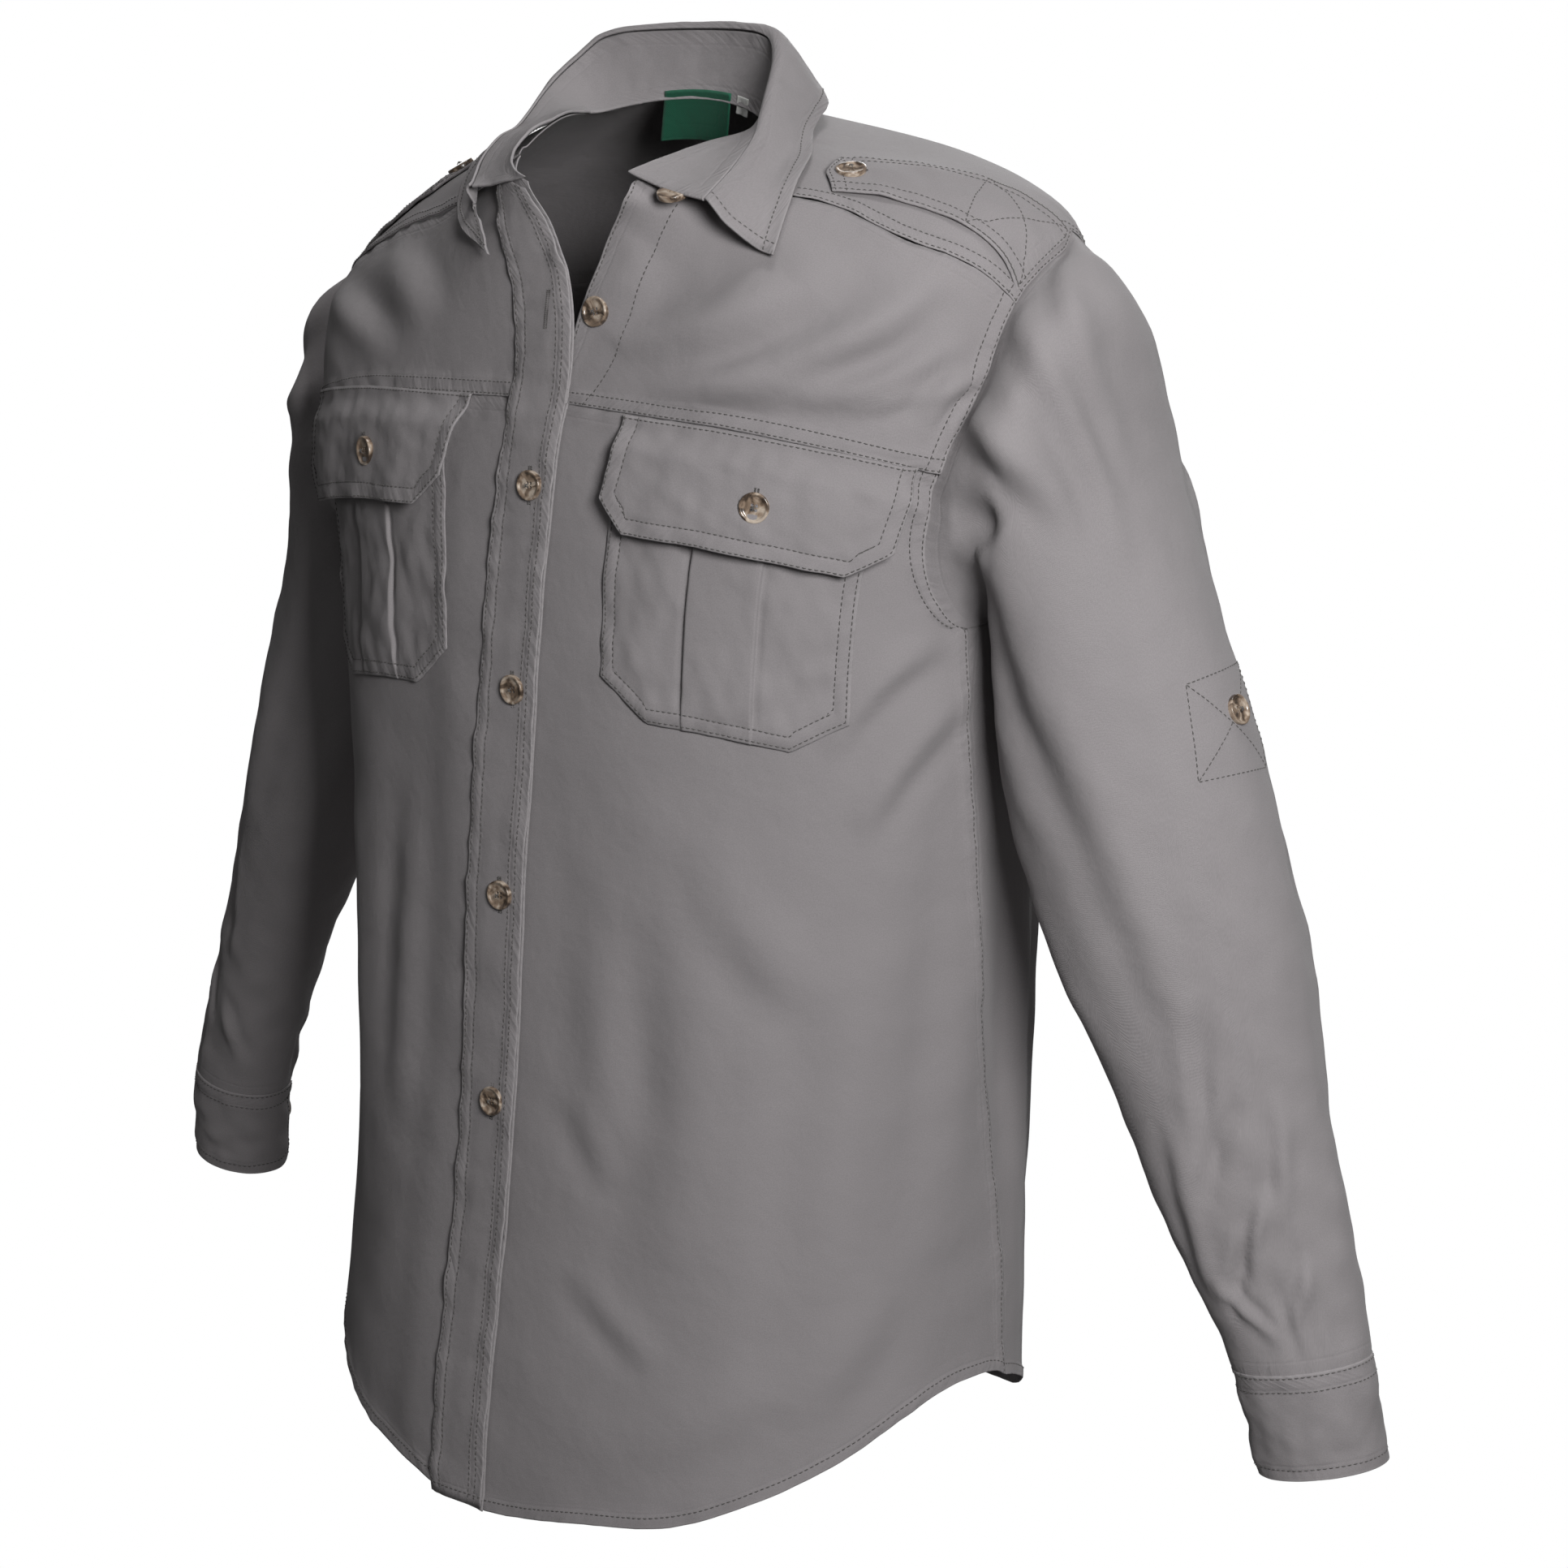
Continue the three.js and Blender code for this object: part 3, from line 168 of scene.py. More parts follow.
bodySettings = {
    "hemLean": 8,
    "lapLift": 2.0,
    "lapFrom": 38,  # the right front rises onto the left one between these distances from its edge
    "lapTo": 12,
    "armholeSteps": 24,  # steps round an armhole, forward from the shoulder point
    "yokeFrontStep": 3.0,
    "chestSeamStep": 7.0,
    "pitStep": 12.0,
    "yokeBackStep": 4.0,  # counted backwards
    "sideSeamHem": 98.0,  # angle of the side seam at the hem
    "arc": 2.9,  # millimetres of body for each degree round it
    "creaseRise": 2.2,
    "wave": 0.7,  # rise of the wide unevenness of the cloth, and of the small one below
    "waveSize": 110,
    "ripple": 0.2,
    "rippleSize": 42,
    "seed": 11,
}

# Large folds: from angle, height, to angle, height, width, rise
bodyFolds = [
    (12, -112, 60, -86, 12, 3), (10, -122, 64, -112, 9, 2.5), (14, -330, 24, -520, 16, -3),
    (46, -330, 40, -600, 26, 4), (-34, -320, -30, -580, 24, 4), (150, -160, 146, -560, 24, 4),
    (-152, -180, -148, -580, 26, 4), (178, -240, 181, -560, 20, -3),
]


def smoothStep(low, high, value):
    share = np.clip((value - low) / (high - low), 0, 1)
    return share * share * (3 - 2 * share)


# A smooth curve through four values in a row, between the middle two
def curved(before, here, there, after, share):
    leave, arrive = (there - before) / 2, (after - here) / 2
    square, cube = share ** 2, share ** 3
    return ((2 * cube - 3 * square + 1) * here + (cube - 2 * square + share) * leave
            + (3 * square - 2 * cube) * there + (cube - square) * arrive)


def readSmooth(table, spot):
    table = np.asarray(table, float)
    spot = np.asarray(spot, float)
    last = len(table) - 1
    row = np.clip(np.floor(spot).astype(int), 0, last - 1)
    share = spot - row
    if table.ndim > 1:
        share = share[..., None]
    return curved(*(table[np.clip(row + k, 0, last)] for k in (-1, 0, 1, 2)), share)


def readAt(table, value):
    table = np.asarray(table, float)
    keys = table[:, 0]
    value = np.clip(value, keys[0], keys[-1])
    row = np.clip(np.searchsorted(keys, value) - 1, 0, len(keys) - 2)
    found = readSmooth(table[:, 1:], row + (value - keys[row]) / (keys[row + 1] - keys[row]))
    return found[..., 0] if table.shape[1] == 2 else found


def unit(vectors):
    return vectors / np.maximum(np.linalg.norm(vectors, axis=-1, keepdims=True), 1e-9)


def wrapped(value, period=360):
    return (np.asarray(value) + period / 2) % period - period / 2


def torsoBase(around, level):
    around, level = np.broadcast_arrays(np.asarray(around, float), np.asarray(level, float))
    half, middle, front, back, sideZ, frontZ, backZ, square, lean = np.moveaxis(
        readSmooth(torsoRings, level), -1, 0)
    aside, ahead = np.sin(np.radians(around)), np.cos(np.radians(around))
    power = 2 / square
    x = half * np.sign(aside) * np.abs(aside) ** power
    y = middle + np.where(ahead > 0, -front, back) * np.abs(ahead) ** power
    z = sideZ + (np.where(ahead > 0, frontZ, backZ) - sideZ) * ahead ** 2 + lean * x
    point = np.stack([x, y, z], -1)
    for atAround, atLevel, aroundSpread, levelSpread, pushX, pushY, pushZ in neckPushes:
        sideways = wrapped(around - atAround) / aroundSpread
        weight = np.exp(-sideways ** 2 - ((level - atLevel) / levelSpread) ** 2)
        point = point + weight[..., None] * np.array([pushX, pushY, pushZ])
    return point


def torsoNormal(around, level):
    step = 0.05
    upper = np.maximum(np.asarray(level, float) - step, 0)
    turn = torsoBase(np.asarray(around) + 1, level) - torsoBase(np.asarray(around) - 1, level)
    down = torsoBase(around, upper + 2 * step) - torsoBase(around, upper)
    return unit(-np.cross(turn, down))


# Smooth random relief, from seeded waves in many directions
def softNoise(points, size, seed, waves=16):
    random = np.random.default_rng(seed)
    total = np.zeros(points.shape[:-1])
    for _ in range(waves):
        direction = unit(random.normal(size=3))
        pitch = size * random.uniform(0.7, 1.5)
        total += np.sin(points @ direction * (2 * np.pi / pitch) + random.uniform(0, 6.28))
    return total / math.sqrt(waves / 2)


# How far along a line a place lies, from 0 to 1, and how far beside it in millimetres
def besideLine(line, x, y, scale, period):
    fromX, fromY, toX, toY = line
    across, fall = (toX - fromX) * scale[0], (toY - fromY) * scale[1]
    length = math.hypot(across, fall)
    dx, dy = wrapped(x - fromX, period) * scale[0], (y - fromY) * scale[1]
    along = np.clip((dx * across + dy * fall) / length ** 2, 0, 1)
    return along, (dx * fall - dy * across) / length


# Creases listed one by one: a ridge with a sharper trough beside it, fading out at both ends
def creaseHeight(creases, x, y, scale, period):
    height = np.zeros(np.shape(y))
    for *line, wide, high, bend in creases:
        along, beside = besideLine(line, x, y, scale, period)
        off = (beside - bend * 4 * along * (1 - along)) / wide
        ridge = np.exp(-off ** 2) - 0.55 * np.exp(-1.6 * (off - 1.5) ** 2)
        height = height + high * ridge * np.sin(np.pi * along) ** 0.8
    return height


# Creases of the body: from angle, height, to angle, height, width, rise, bend
bodyCreases = [
    (14, -100, 44, -62, 9, 2.2, 6), (17, -118, 62, -74, 8, 2.4, 8), (26, -120, 70, -92, 7, 2.0, 5),
    (40, -122, 74, -106, 6, 1.6, 3), (62, -130, 70, -108, 5, 1.6, 0), (56, -126, 66, -98, 5, -1.2, 2),
    (24, -96, 54, -46, 8, 2.2, 4), (36, -100, 66, -58, 8, 2.0, 4), (13, -80, 32, -48, 8, 1.6, 3),
    (60, -150, 72, -176, 6, -1.5, 0), (52, -290, 74, -236, 9, 1.8, -8),
    (58, -330, 82, -262, 10, 2.0, -6), (30, -330, 56, -420, 16, 1.3, 10),
    (11, -560, 27, -604, 8, 1.0, 2), (9, -470, 18, -520, 8, 0.8, 0), (16, -340, 19, -520, 15, 1.2, 5),
    (31, -350, 27, -590, 20, 1.3, -4), (62, -380, 56, -600, 20, 1.6, 4),
    (86, -300, 80, -560, 19, 2.0, -5), (48, -630, 68, -560, 16, 1.3, 4),
    (22, -650, 46, -604, 15, 1.0, 3), (-20, -100, -52, -70, 9, 1.6, 4),
    (-26, -120, -62, -96, 8, 1.6, 4), (-18, -330, -22, -520, 12, 1.5, 4),
    (-44, -340, -40, -580, 16, 2.0, -5), (-56, -290, -78, -240, 9, 1.6, 6),
    (-70, -320, -74, -560, 15, 2.0, 5), (118, -120, 150, -190, 13, 2.4, -8),
    (112, -170, 142, -250, 14, 2.2, -6), (132, -260, 128, -560, 18, 3.0, 6),
    (158, -300, 162, -600, 16, 2.4, -5), (-118, -120, -150, -200, 13, 2.4, 8),
    (-112, -180, -140, -260, 14, 2.0, 6), (-128, -280, -132, -560, 18, 2.8, -5),
    (-164, -240, -160, -580, 16, 2.2, 6), (172, -90, 176, -230, 12, 1.4, 2),
    (100, -300, 106, -560, 15, 2.2, 4), (-98, -300, -104, -560, 15, 2.2, -4),
]


def foldHeight(folds, x, y, scale, period):
    height = np.zeros(np.shape(y))
    for *line, wide, high in folds:
        along, beside = besideLine(line, x, y, scale, period)
        height = height + high * np.exp(-(beside / wide) ** 2) * np.sin(np.pi * along)
    return height


def torsoAt(around, level, lift):
    base = torsoBase(around, level)
    s = bodySettings
    place = (around, base[..., 2], (s["arc"], 1), 360)
    height = foldHeight(bodyFolds, *place) + s["creaseRise"] * creaseHeight(bodyCreases, *place)
    calm = smoothStep(1.2, 3.2, np.asarray(level, float))  # the neck is held by its collar
    height = height + calm * s["wave"] * softNoise(base * (1, 1, 0.5), s["waveSize"], s["seed"])
    height = height + calm * s["ripple"] * softNoise(base, s["rippleSize"], s["seed"] + 1)
    return base + torsoNormal(around, level) * (height + lift)[..., None]


# Points and normals at places that are given as angle and level
def torsoPlace(spot, lift):
    return torsoAt(spot[..., 0], spot[..., 1], lift), torsoNormal(spot[..., 0], spot[..., 1])


def levelAtHeight(around, z):
    around, z = np.broadcast_arrays(np.asarray(around, float), np.asarray(z, float))
    upper, lower = np.zeros(z.shape), np.full(z.shape, len(torsoRings) - 1.0)
    for _ in range(26):
        middle = (upper + lower) / 2
        above = torsoBase(around, middle)[..., 2] > z
        upper, lower = np.where(above, middle, upper), np.where(above, lower, middle)
    return (upper + lower) / 2


def placeOf(around, level):
    around, level = np.broadcast_arrays(np.asarray(around, float), np.asarray(level, float))
    return np.stack([around, level], -1)


def armholePlace(step, side):
    found = readAt(armhole, np.mod(step, bodySettings["armholeSteps"]))
    return placeOf(side * found[..., 0], found[..., 1])


def yokeSeamPlace(share, side):
    found = readAt(yokeSeam, share)
    return placeOf(side * found[..., 1 if side > 0 else 2], found[..., 0])


def hemPlace(around):
    z = readAt(hemHeights, np.abs(around)) - bodySettings["hemLean"] * np.sin(np.radians(around))
    return placeOf(around, levelAtHeight(around, z))


def chestSeamZ(around):
    return readAt(chestSeamHeights, np.abs(around))


def chestSeamPlace(around):
    return placeOf(around, levelAtHeight(around, chestSeamZ(around)))


def aroundAtX(x, level):
    ring = readSmooth(torsoRings, level)
    share = np.minimum(np.abs(x) / ring[..., 0], 1) ** (ring[..., 7] / 2)
    return np.sign(x) * np.degrees(np.arcsin(share))


def freeEdgeX(side, level):
    return readAt(leftFreeEdge if side > 0 else rightFreeEdge, level)


def freeEdgePlace(side, level):
    return placeOf(aroundAtX(freeEdgeX(side, level), level), level)


def lapHeight(spot):
    edge = freeEdgeX(1, spot[..., 1])
    x = torsoBase(spot[..., 0], spot[..., 1])[..., 0]
    s = bodySettings
    return s["lapLift"] * smoothStep(edge - s["lapFrom"], edge - s["lapTo"], x)


def backWrapped(spot):
    return placeOf(np.where(spot[..., 0] < 0, spot[..., 0] + 360, spot[..., 0]), spot[..., 1])


def mixed(start, end, share):
    return start + (end - start) * np.asarray(share)[..., None]


# A patch of the body between four curves that meet at its corners
def patchOf(top, bottom, left, right):
    def placeAt(u, v):
        a, b = np.asarray(u)[..., None], np.asarray(v)[..., None]
        ends = [curve(np.array(float(k))) for curve in (top, bottom) for k in (0, 1)]
        return (top(u) * (1 - b) + bottom(u) * b + left(v) * (1 - a) + right(v) * a
                - ends[0] * (1 - a) * (1 - b) - ends[1] * a * (1 - b)
                - ends[2] * (1 - a) * b - ends[3] * a * b)
    return placeAt


def chestSeamStart(side):
    level = levelAtHeight(0, chestSeamZ(0))
    for _ in range(4):
        level = chestSeamPlace(freeEdgePlace(side, level)[..., 0])[..., 1]
    return freeEdgePlace(side, level)


def hemStart(side):
    return hemPlace(freeEdgePlace(side, 10.0)[..., 0])


def upperFront(side):
    s = bodySettings
    start = chestSeamStart(side)
    knee = 0.3
    corner = freeEdgePlace(side, 0.0)
    neckEnd = yokeSeamPlace(np.array(0.0), side)
    seamEnd = armholePlace(np.array(s["chestSeamStep"]), side)[..., 0]
    sleeveSeam = s["chestSeamStep"] - s["yokeFrontStep"]
    return patchOf(
        top=lambda u: np.where((u <= knee)[..., None], mixed(corner, neckEnd, u / knee),
                               yokeSeamPlace(np.clip((u - knee) / (1 - knee), 0, 1), side)),
        bottom=lambda u: chestSeamPlace(start[..., 0] + (seamEnd - start[..., 0]) * u),
        left=lambda v: freeEdgePlace(side, start[..., 1] * v),
        right=lambda v: armholePlace(s["yokeFrontStep"] + sleeveSeam * v, side),
    )


def lowerFront(side):
    s = bodySettings
    start, end = chestSeamStart(side), hemStart(side)
    knee = 5 / 14
    pit = armholePlace(np.array(s["pitStep"]), side)
    kneeLevel = levelAtHeight(0, torsoBase(pit[..., 0], pit[..., 1])[..., 2])
    seamEnd = armholePlace(np.array(s["chestSeamStep"]), side)[..., 0]
    sleeveSeam = s["pitStep"] - s["chestSeamStep"]
    sideHem = hemPlace(np.array(side * s["sideSeamHem"]))
    return patchOf(
        top=lambda u: chestSeamPlace(start[..., 0] + (seamEnd - start[..., 0]) * u),
        bottom=lambda u: hemPlace(end[..., 0] + (sideHem[..., 0] - end[..., 0]) * u),
        left=lambda v: freeEdgePlace(side, np.where(
            v < knee, start[..., 1] + (kneeLevel - start[..., 1]) * v / knee,
            kneeLevel + (end[..., 1] - kneeLevel) * (v - knee) / (1 - knee))),
        right=lambda v: np.where(
            (v <= knee)[..., None], armholePlace(s["chestSeamStep"] + sleeveSeam * v / knee, side),
            mixed(pit, sideHem, (v - knee) / (1 - knee))),
    )


def yokeBackEnds():
    step = np.array(-bodySettings["yokeBackStep"])
    return armholePlace(step, 1), backWrapped(armholePlace(step, -1))


backKnee = 8 / 17  # share of the back's side edge that is armhole


def backPanel():
    s = bodySettings
    leftTop, rightTop = yokeBackEnds()
    sleeveSeam = s["pitStep"] - s["yokeBackStep"]

    def sideLine(v, side):
        pit = armholePlace(np.array(s["pitStep"]), side)
        sideHem = hemPlace(np.array(side * s["sideSeamHem"]))
        return backWrapped(np.where(
            (v <= backKnee)[..., None], armholePlace(-(s["yokeBackStep"] + sleeveSeam * v / backKnee), side),
            mixed(pit, sideHem, (v - backKnee) / (1 - backKnee))))

    def hemLine(u):
        around = s["sideSeamHem"] + (360 - 2 * s["sideSeamHem"]) * u
        return placeOf(around, hemPlace(wrapped(around))[..., 1])

    return patchOf(top=lambda u: mixed(leftTop, rightTop, u), bottom=hemLine,
                   left=lambda v: sideLine(v, 1), right=lambda v: sideLine(v, -1))


def yokePanel():
    front, back = bodySettings["yokeFrontStep"], bodySettings["yokeBackStep"]
    leftBack, rightBack = yokeBackEnds()
    arm = front + back  # steps of each armhole that the yoke takes, and as many twice over behind
    whole = 4 * arm

    def lowEdge(u):
        step = u * whole
        along = mixed(leftBack, rightBack, np.clip((step - arm) / (2 * arm), 0, 1))
        along = np.where((step <= arm)[..., None], armholePlace(front - step, 1), along)
        rightArmhole = backWrapped(armholePlace(step - (whole - front), -1))
        return np.where((step >= whole - arm)[..., None], rightArmhole, along)

    low, high = lowEdge(np.array(0.0))[..., 0], lowEdge(np.array(1.0))[..., 0]
    left = lambda v: yokeSeamPlace(v, 1)
    right = lambda v: backWrapped(yokeSeamPlace(v, -1))
    first, last = left(np.array(0.0))[..., 0], right(np.array(0.0))[..., 0]
    neckLine = lambda u: placeOf(
        first + (last - first) * (lowEdge(u)[..., 0] - low) / (high - low), 0 * u)
    return patchOf(top=neckLine, bottom=lowEdge, left=left, right=right)


# Grids and meshes
edgeLines = np.array([0, 0.8, 2, 4.5, 7, 8, 9, 12])  # closer lines where the seams and hems lie


def gridLines(length, cell):
    margin = edgeLines[-1]
    count = max(int(round((length - 2 * margin) / cell)), 2)
    middle = np.linspace(margin, length - margin, count + 1)[1:-1]
    return np.concatenate([edgeLines, middle, (length - edgeLines)[::-1]]) / length


def gridNormals(points, outward):
    turn, down = np.gradient(points, axis=0), np.gradient(points, axis=1)
    normals = unit(np.cross(turn, down))
    return normals * np.sign(np.sum(normals * outward) or 1)


def edgeDistances(points):
    turn = np.linalg.norm(np.diff(points, axis=0), axis=-1)
    down = np.linalg.norm(np.diff(points, axis=1), axis=-1)
    across = np.concatenate([np.zeros((1, points.shape[1])), np.cumsum(turn, axis=0)])
    fall = np.concatenate([np.zeros((points.shape[0], 1)), np.cumsum(down, axis=1)], axis=1)
    return {"left": across, "right": across[-1] - across, "top": fall, "bottom": fall[:, -1:] - fall}


# A grid of a piece's outer face with its normals and its distances from the edges
def panelOf(points, outward, edges=None, **more):
    edges = edges or edgeDistances(points)
    return {"points": points, "normals": gridNormals(points, outward), "edges": edges, **more}


def keepOnly(obj):
    bpy.ops.object.select_all(action="DESELECT")
    obj.select_set(True)
    bpy.context.view_layer.objects.active = obj


def meshObject(name, vertices, faces, material, uvs=None, edge=None):
    mesh = bpy.data.meshes.new(name)
    mesh.from_pydata((np.asarray(vertices) * metres).tolist(), [], np.asarray(faces).tolist())
    loops = np.zeros(len(mesh.loops), int)
    mesh.loops.foreach_get("vertex_index", loops)
    for layerName, values in (("cloth", uvs), ("edge", edge)):
        if values is not None:
            layer = mesh.uv_layers.new(name=layerName)
            layer.data.foreach_set("uv", (np.asarray(values)[loops] * metres).ravel())
    mesh.polygons.foreach_set("use_smooth", np.ones(len(mesh.polygons), bool))
    mesh.update()
    obj = bpy.data.objects.new(name, mesh)
    bpy.context.scene.collection.objects.link(obj)
    mesh.materials.append(material)
    return obj


# A cloth piece from a grid of its outer face. joined counts the rows whose last column is the
# first one again, which closes a sleeve down to its slit.
def clothPiece(name, panel, thick, material):
    points, joined = panel["points"], panel.get("joined", 0)
    columns, rows = points.shape[:2]
    ids = np.arange(columns * rows).reshape(columns, rows)
    ids[-1, :joined] = ids[0, :joined]
    a, b, c, d = ids[:-1, :-1], ids[:-1, 1:], ids[1:, 1:], ids[1:, :-1]
    faces = np.stack([a, b, c, d], -1).reshape(-1, 4)
    flat = points.reshape(-1, 3)
    faceNormals = np.cross(flat[faces[:, 2]] - flat[faces[:, 0]], flat[faces[:, 3]] - flat[faces[:, 1]])
    if np.sum(faceNormals * panel["normals"].reshape(-1, 3)[faces[:, 0]]) < 0:
        faces = faces[:, ::-1]
    edges = panel["edges"]
    uv = np.stack([edges["left"], edges["top"]], -1).reshape(-1, 2)
    near = panel.get("fromEdge", np.minimum.reduce([edges[k] for k in panel.get("worn", edges)]))
    edge = np.stack([near, edges["left"] + edges["top"]], -1).reshape(-1, 2)
    used = np.unique(faces)
    index = np.zeros(len(flat), int)
    index[used] = np.arange(len(used))
    obj = meshObject(name, flat[used], index[faces], material, uv[used], edge[used])
    wall = obj.modifiers.new("wall", "SOLIDIFY")
    wall.thickness = thick * metres
    wall.offset = -1
    keepOnly(obj)
    bpy.ops.object.modifier_apply(modifier="wall")
    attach(obj, "root")
    return obj


# Relief at a panel's edges. over lies on its neighbour as a felled band, under slips below it,
# hem is a narrow turning, free is left alone.
edgeRelief = {"over": (0.8, 7.2, 8.8), "under": (-0.5, 1.0, 4.0), "hem": (0.7, 5.6, 7.0), "free": (0, 1, 2)}
puckerSettings = {"rise": 0.3, "reach": 11, "size": 13}


def relieved(points, normals, edges, kinds, seed):
    lift = np.zeros(points.shape[:2])
    gathered = np.zeros(points.shape[:2])
    for side, kind in kinds.items():
        high, low, far = edgeRelief[kind]
        lift = lift + high * (1 - smoothStep(low, far, edges[side]))
        if kind != "free":
            gathered = np.maximum(gathered, np.exp(-(edges[side] / puckerSettings["reach"]) ** 2))
    lift = lift + puckerSettings["rise"] * gathered * softNoise(points, puckerSettings["size"], seed)
    return points + normals * lift[..., None]


# Seam allowances slip below the neighbours, along the top and at the sides below the armhole
def tuckedLines(s):
    across, down = gridLines(s["wide"], s["cell"]), gridLines(s["tall"], s["cell"])
    tuck = s.get("tuck", 0)
    if not tuck:
        return np.meshgrid(across, down, indexing="ij")
    down = np.concatenate([[-tuck / s["tall"]], down])
    u, v = np.meshgrid(np.concatenate([[0], across, [1]]), down, indexing="ij")
    reach = tuck / s["wide"] * (0.06 + 0.94 * smoothStep(s["sideFrom"], s["sideFrom"] + 0.06, v[0]))
    u[0], u[-1] = -reach, 1 + reach
    return u, v


def bodyPanel(s, placeAt, liftAt=None):
    u, v = tuckedLines(s)
    spot = placeAt(u, v)
    points, outward = torsoPlace(spot, liftAt(spot) if liftAt else np.zeros(u.shape))
    edges = edgeDistances(points)
    points = relieved(points, gridNormals(points, outward), edges, s["seams"], s["seed"])
    return panelOf(points, outward, edges)


# Threads
threadSettings = {"pitch": 3.0, "long": 2.2, "thick": 0.31, "rise": 0.26, "dip": -0.12}
threadRows = {}


def addStitches(group, path, normals, s=threadSettings):
    lengths = np.concatenate([[0], np.cumsum(np.linalg.norm(np.diff(path, axis=0), axis=-1))])
    count = int(lengths[-1] / s["pitch"])
    if count < 1:
        return
    starts = (np.arange(count) + 0.1) * lengths[-1] / count
    at = starts[:, None] + np.array([0, 0.5, 1]) * s["long"]
    spots = np.stack([np.interp(at, lengths, path[:, k]) for k in range(3)], -1)
    ups = unit(np.stack([np.interp(at, lengths, normals[:, k]) for k in range(3)], -1))
    ahead = unit(spots[:, 2:] - spots[:, :1])
    sideways = unit(np.cross(ups, ahead))
    height = np.array([s["dip"], s["rise"], s["dip"]])[None, :, None]
    radius = np.array([0.7, 1, 0.7])[None, :, None] * s["thick"]
    centre = spots + ups * height
    ring = np.stack([centre + sideways * radius, centre + ups * radius * 0.8,
                     centre - sideways * radius, centre - ups * radius * 0.8], 2)
    vertices = ring.reshape(-1, 3)
    faces = []
    for ringStart in (0, 4):
        for k in range(4):
            n = (k + 1) % 4
            faces.append((ringStart + k, ringStart + n, ringStart + 4 + n, ringStart + 4 + k))
    faces += [(3, 2, 1, 0), (8, 9, 10, 11)]
    offsets = np.arange(count)[:, None, None] * 12
    allFaces = (np.array(faces)[None] + offsets).reshape(-1, 4)
    threadRows.setdefault(group, []).append((vertices, allFaces))


# The line that runs at one distance from an edge of a panel
def lineAlong(panel, side, inset, start=0.0, end=1.0):
    points, normals, distance = panel["points"], panel["normals"], panel["edges"][side]
    if side in ("left", "right"):
        points, normals, distance = points.transpose(1, 0, 2), normals.transpose(1, 0, 2), distance.T
    if side in ("right", "bottom"):
        points, normals, distance = points[:, ::-1], normals[:, ::-1], distance[:, ::-1]
    count = len(points)
    chosen = range(int(round(start * (count - 1))), int(round(end * (count - 1))) + 1)
    path, ups = (np.array([[np.interp(inset, distance[k], grid[k, :, axis]) for axis in range(3)]
                           for k in chosen]) for grid in (points, normals))
    return path, unit(ups)


def stitchEdge(group, panel, side, insets, start=0.0, end=1.0):
    for inset in insets:
        addStitches(group, *lineAlong(panel, side, inset, start, end))


# A line between places of a panel, given as shares of its two directions
def stitchAcross(group, panel, corners):
    points, normals = panel["points"], panel["normals"]
    columns, rows = points.shape[:2]
    at = np.array([(u * (columns - 1), v * (rows - 1)) for u, v in corners])
    for begin, finish in zip(at[:-1], at[1:]):
        places = begin + (finish - begin) * np.linspace(0, 1, 60)[:, None]
        i, j = np.clip(places[:, 0], 0, columns - 1.001), np.clip(places[:, 1], 0, rows - 1.001)
        fi, fj = i.astype(int), j.astype(int)
        si, sj = (i - fi)[:, None], (j - fj)[:, None]
        path, ups = (
            (grid[fi, fj] * (1 - si) + grid[fi + 1, fj] * si) * (1 - sj)
            + (grid[fi, fj + 1] * (1 - si) + grid[fi + 1, fj + 1] * si) * sj
            for grid in (points, normals))
        addStitches(group, path, unit(ups))


# Materials
def groupSockets(group, inputs, outputs):
    for name, kind, value in inputs:
        socket = group.interface.new_socket(name, in_out="INPUT", socket_type=kind)
        if value is not None:
            socket.default_value = value
    for name, kind in outputs:
        group.interface.new_socket(name, in_out="OUTPUT", socket_type=kind)
    return group.nodes.new("NodeGroupInput"), group.nodes.new("NodeGroupOutput")


def feed(tree, socket, value):
    if isinstance(value, bpy.types.NodeSocket):
        tree.links.new(value, socket)
    else:
        socket.default_value = value


def mathNode(tree, operation, *values):
    node = tree.nodes.new("ShaderNodeMath")
    node.operation = operation
    for socket, value in zip(node.inputs, values):
        feed(tree, socket, value)
    return node.outputs[0]


def noiseNode(tree, vector, scale, detail=2.0, roughness=0.5):
    node = tree.nodes.new("ShaderNodeTexNoise")
    node.inputs["Scale"].default_value = scale
    node.inputs["Detail"].default_value = detail
    node.inputs["Roughness"].default_value = roughness
    tree.links.new(vector, node.inputs["Vector"])
    return node.outputs["Fac"]


def bumpNode(tree, strength, distance, height, under=None):
    node = tree.nodes.new("ShaderNodeBump")
    node.inputs["Strength"].default_value = strength
    node.inputs["Distance"].default_value = distance
    tree.links.new(height, node.inputs["Height"])
    if under is not None:
        tree.links.new(under, node.inputs["Normal"])
    return node.outputs["Normal"]


# Share of 1 at a distance of 0, falling to nothing at the reach
def nearness(group, distance, reach):
    share = mathNode(group, "MINIMUM", mathNode(group, "DIVIDE", distance, reach), 1.0)
    return mathNode(group, "SUBTRACT", 1.0, share)


weaveSettings = {"wobbleScale": 700, "wobble": 0.0006, "yarnWaves": 14000.0, "yarnShare": 0.4,
                 "fleckScale": 1500}


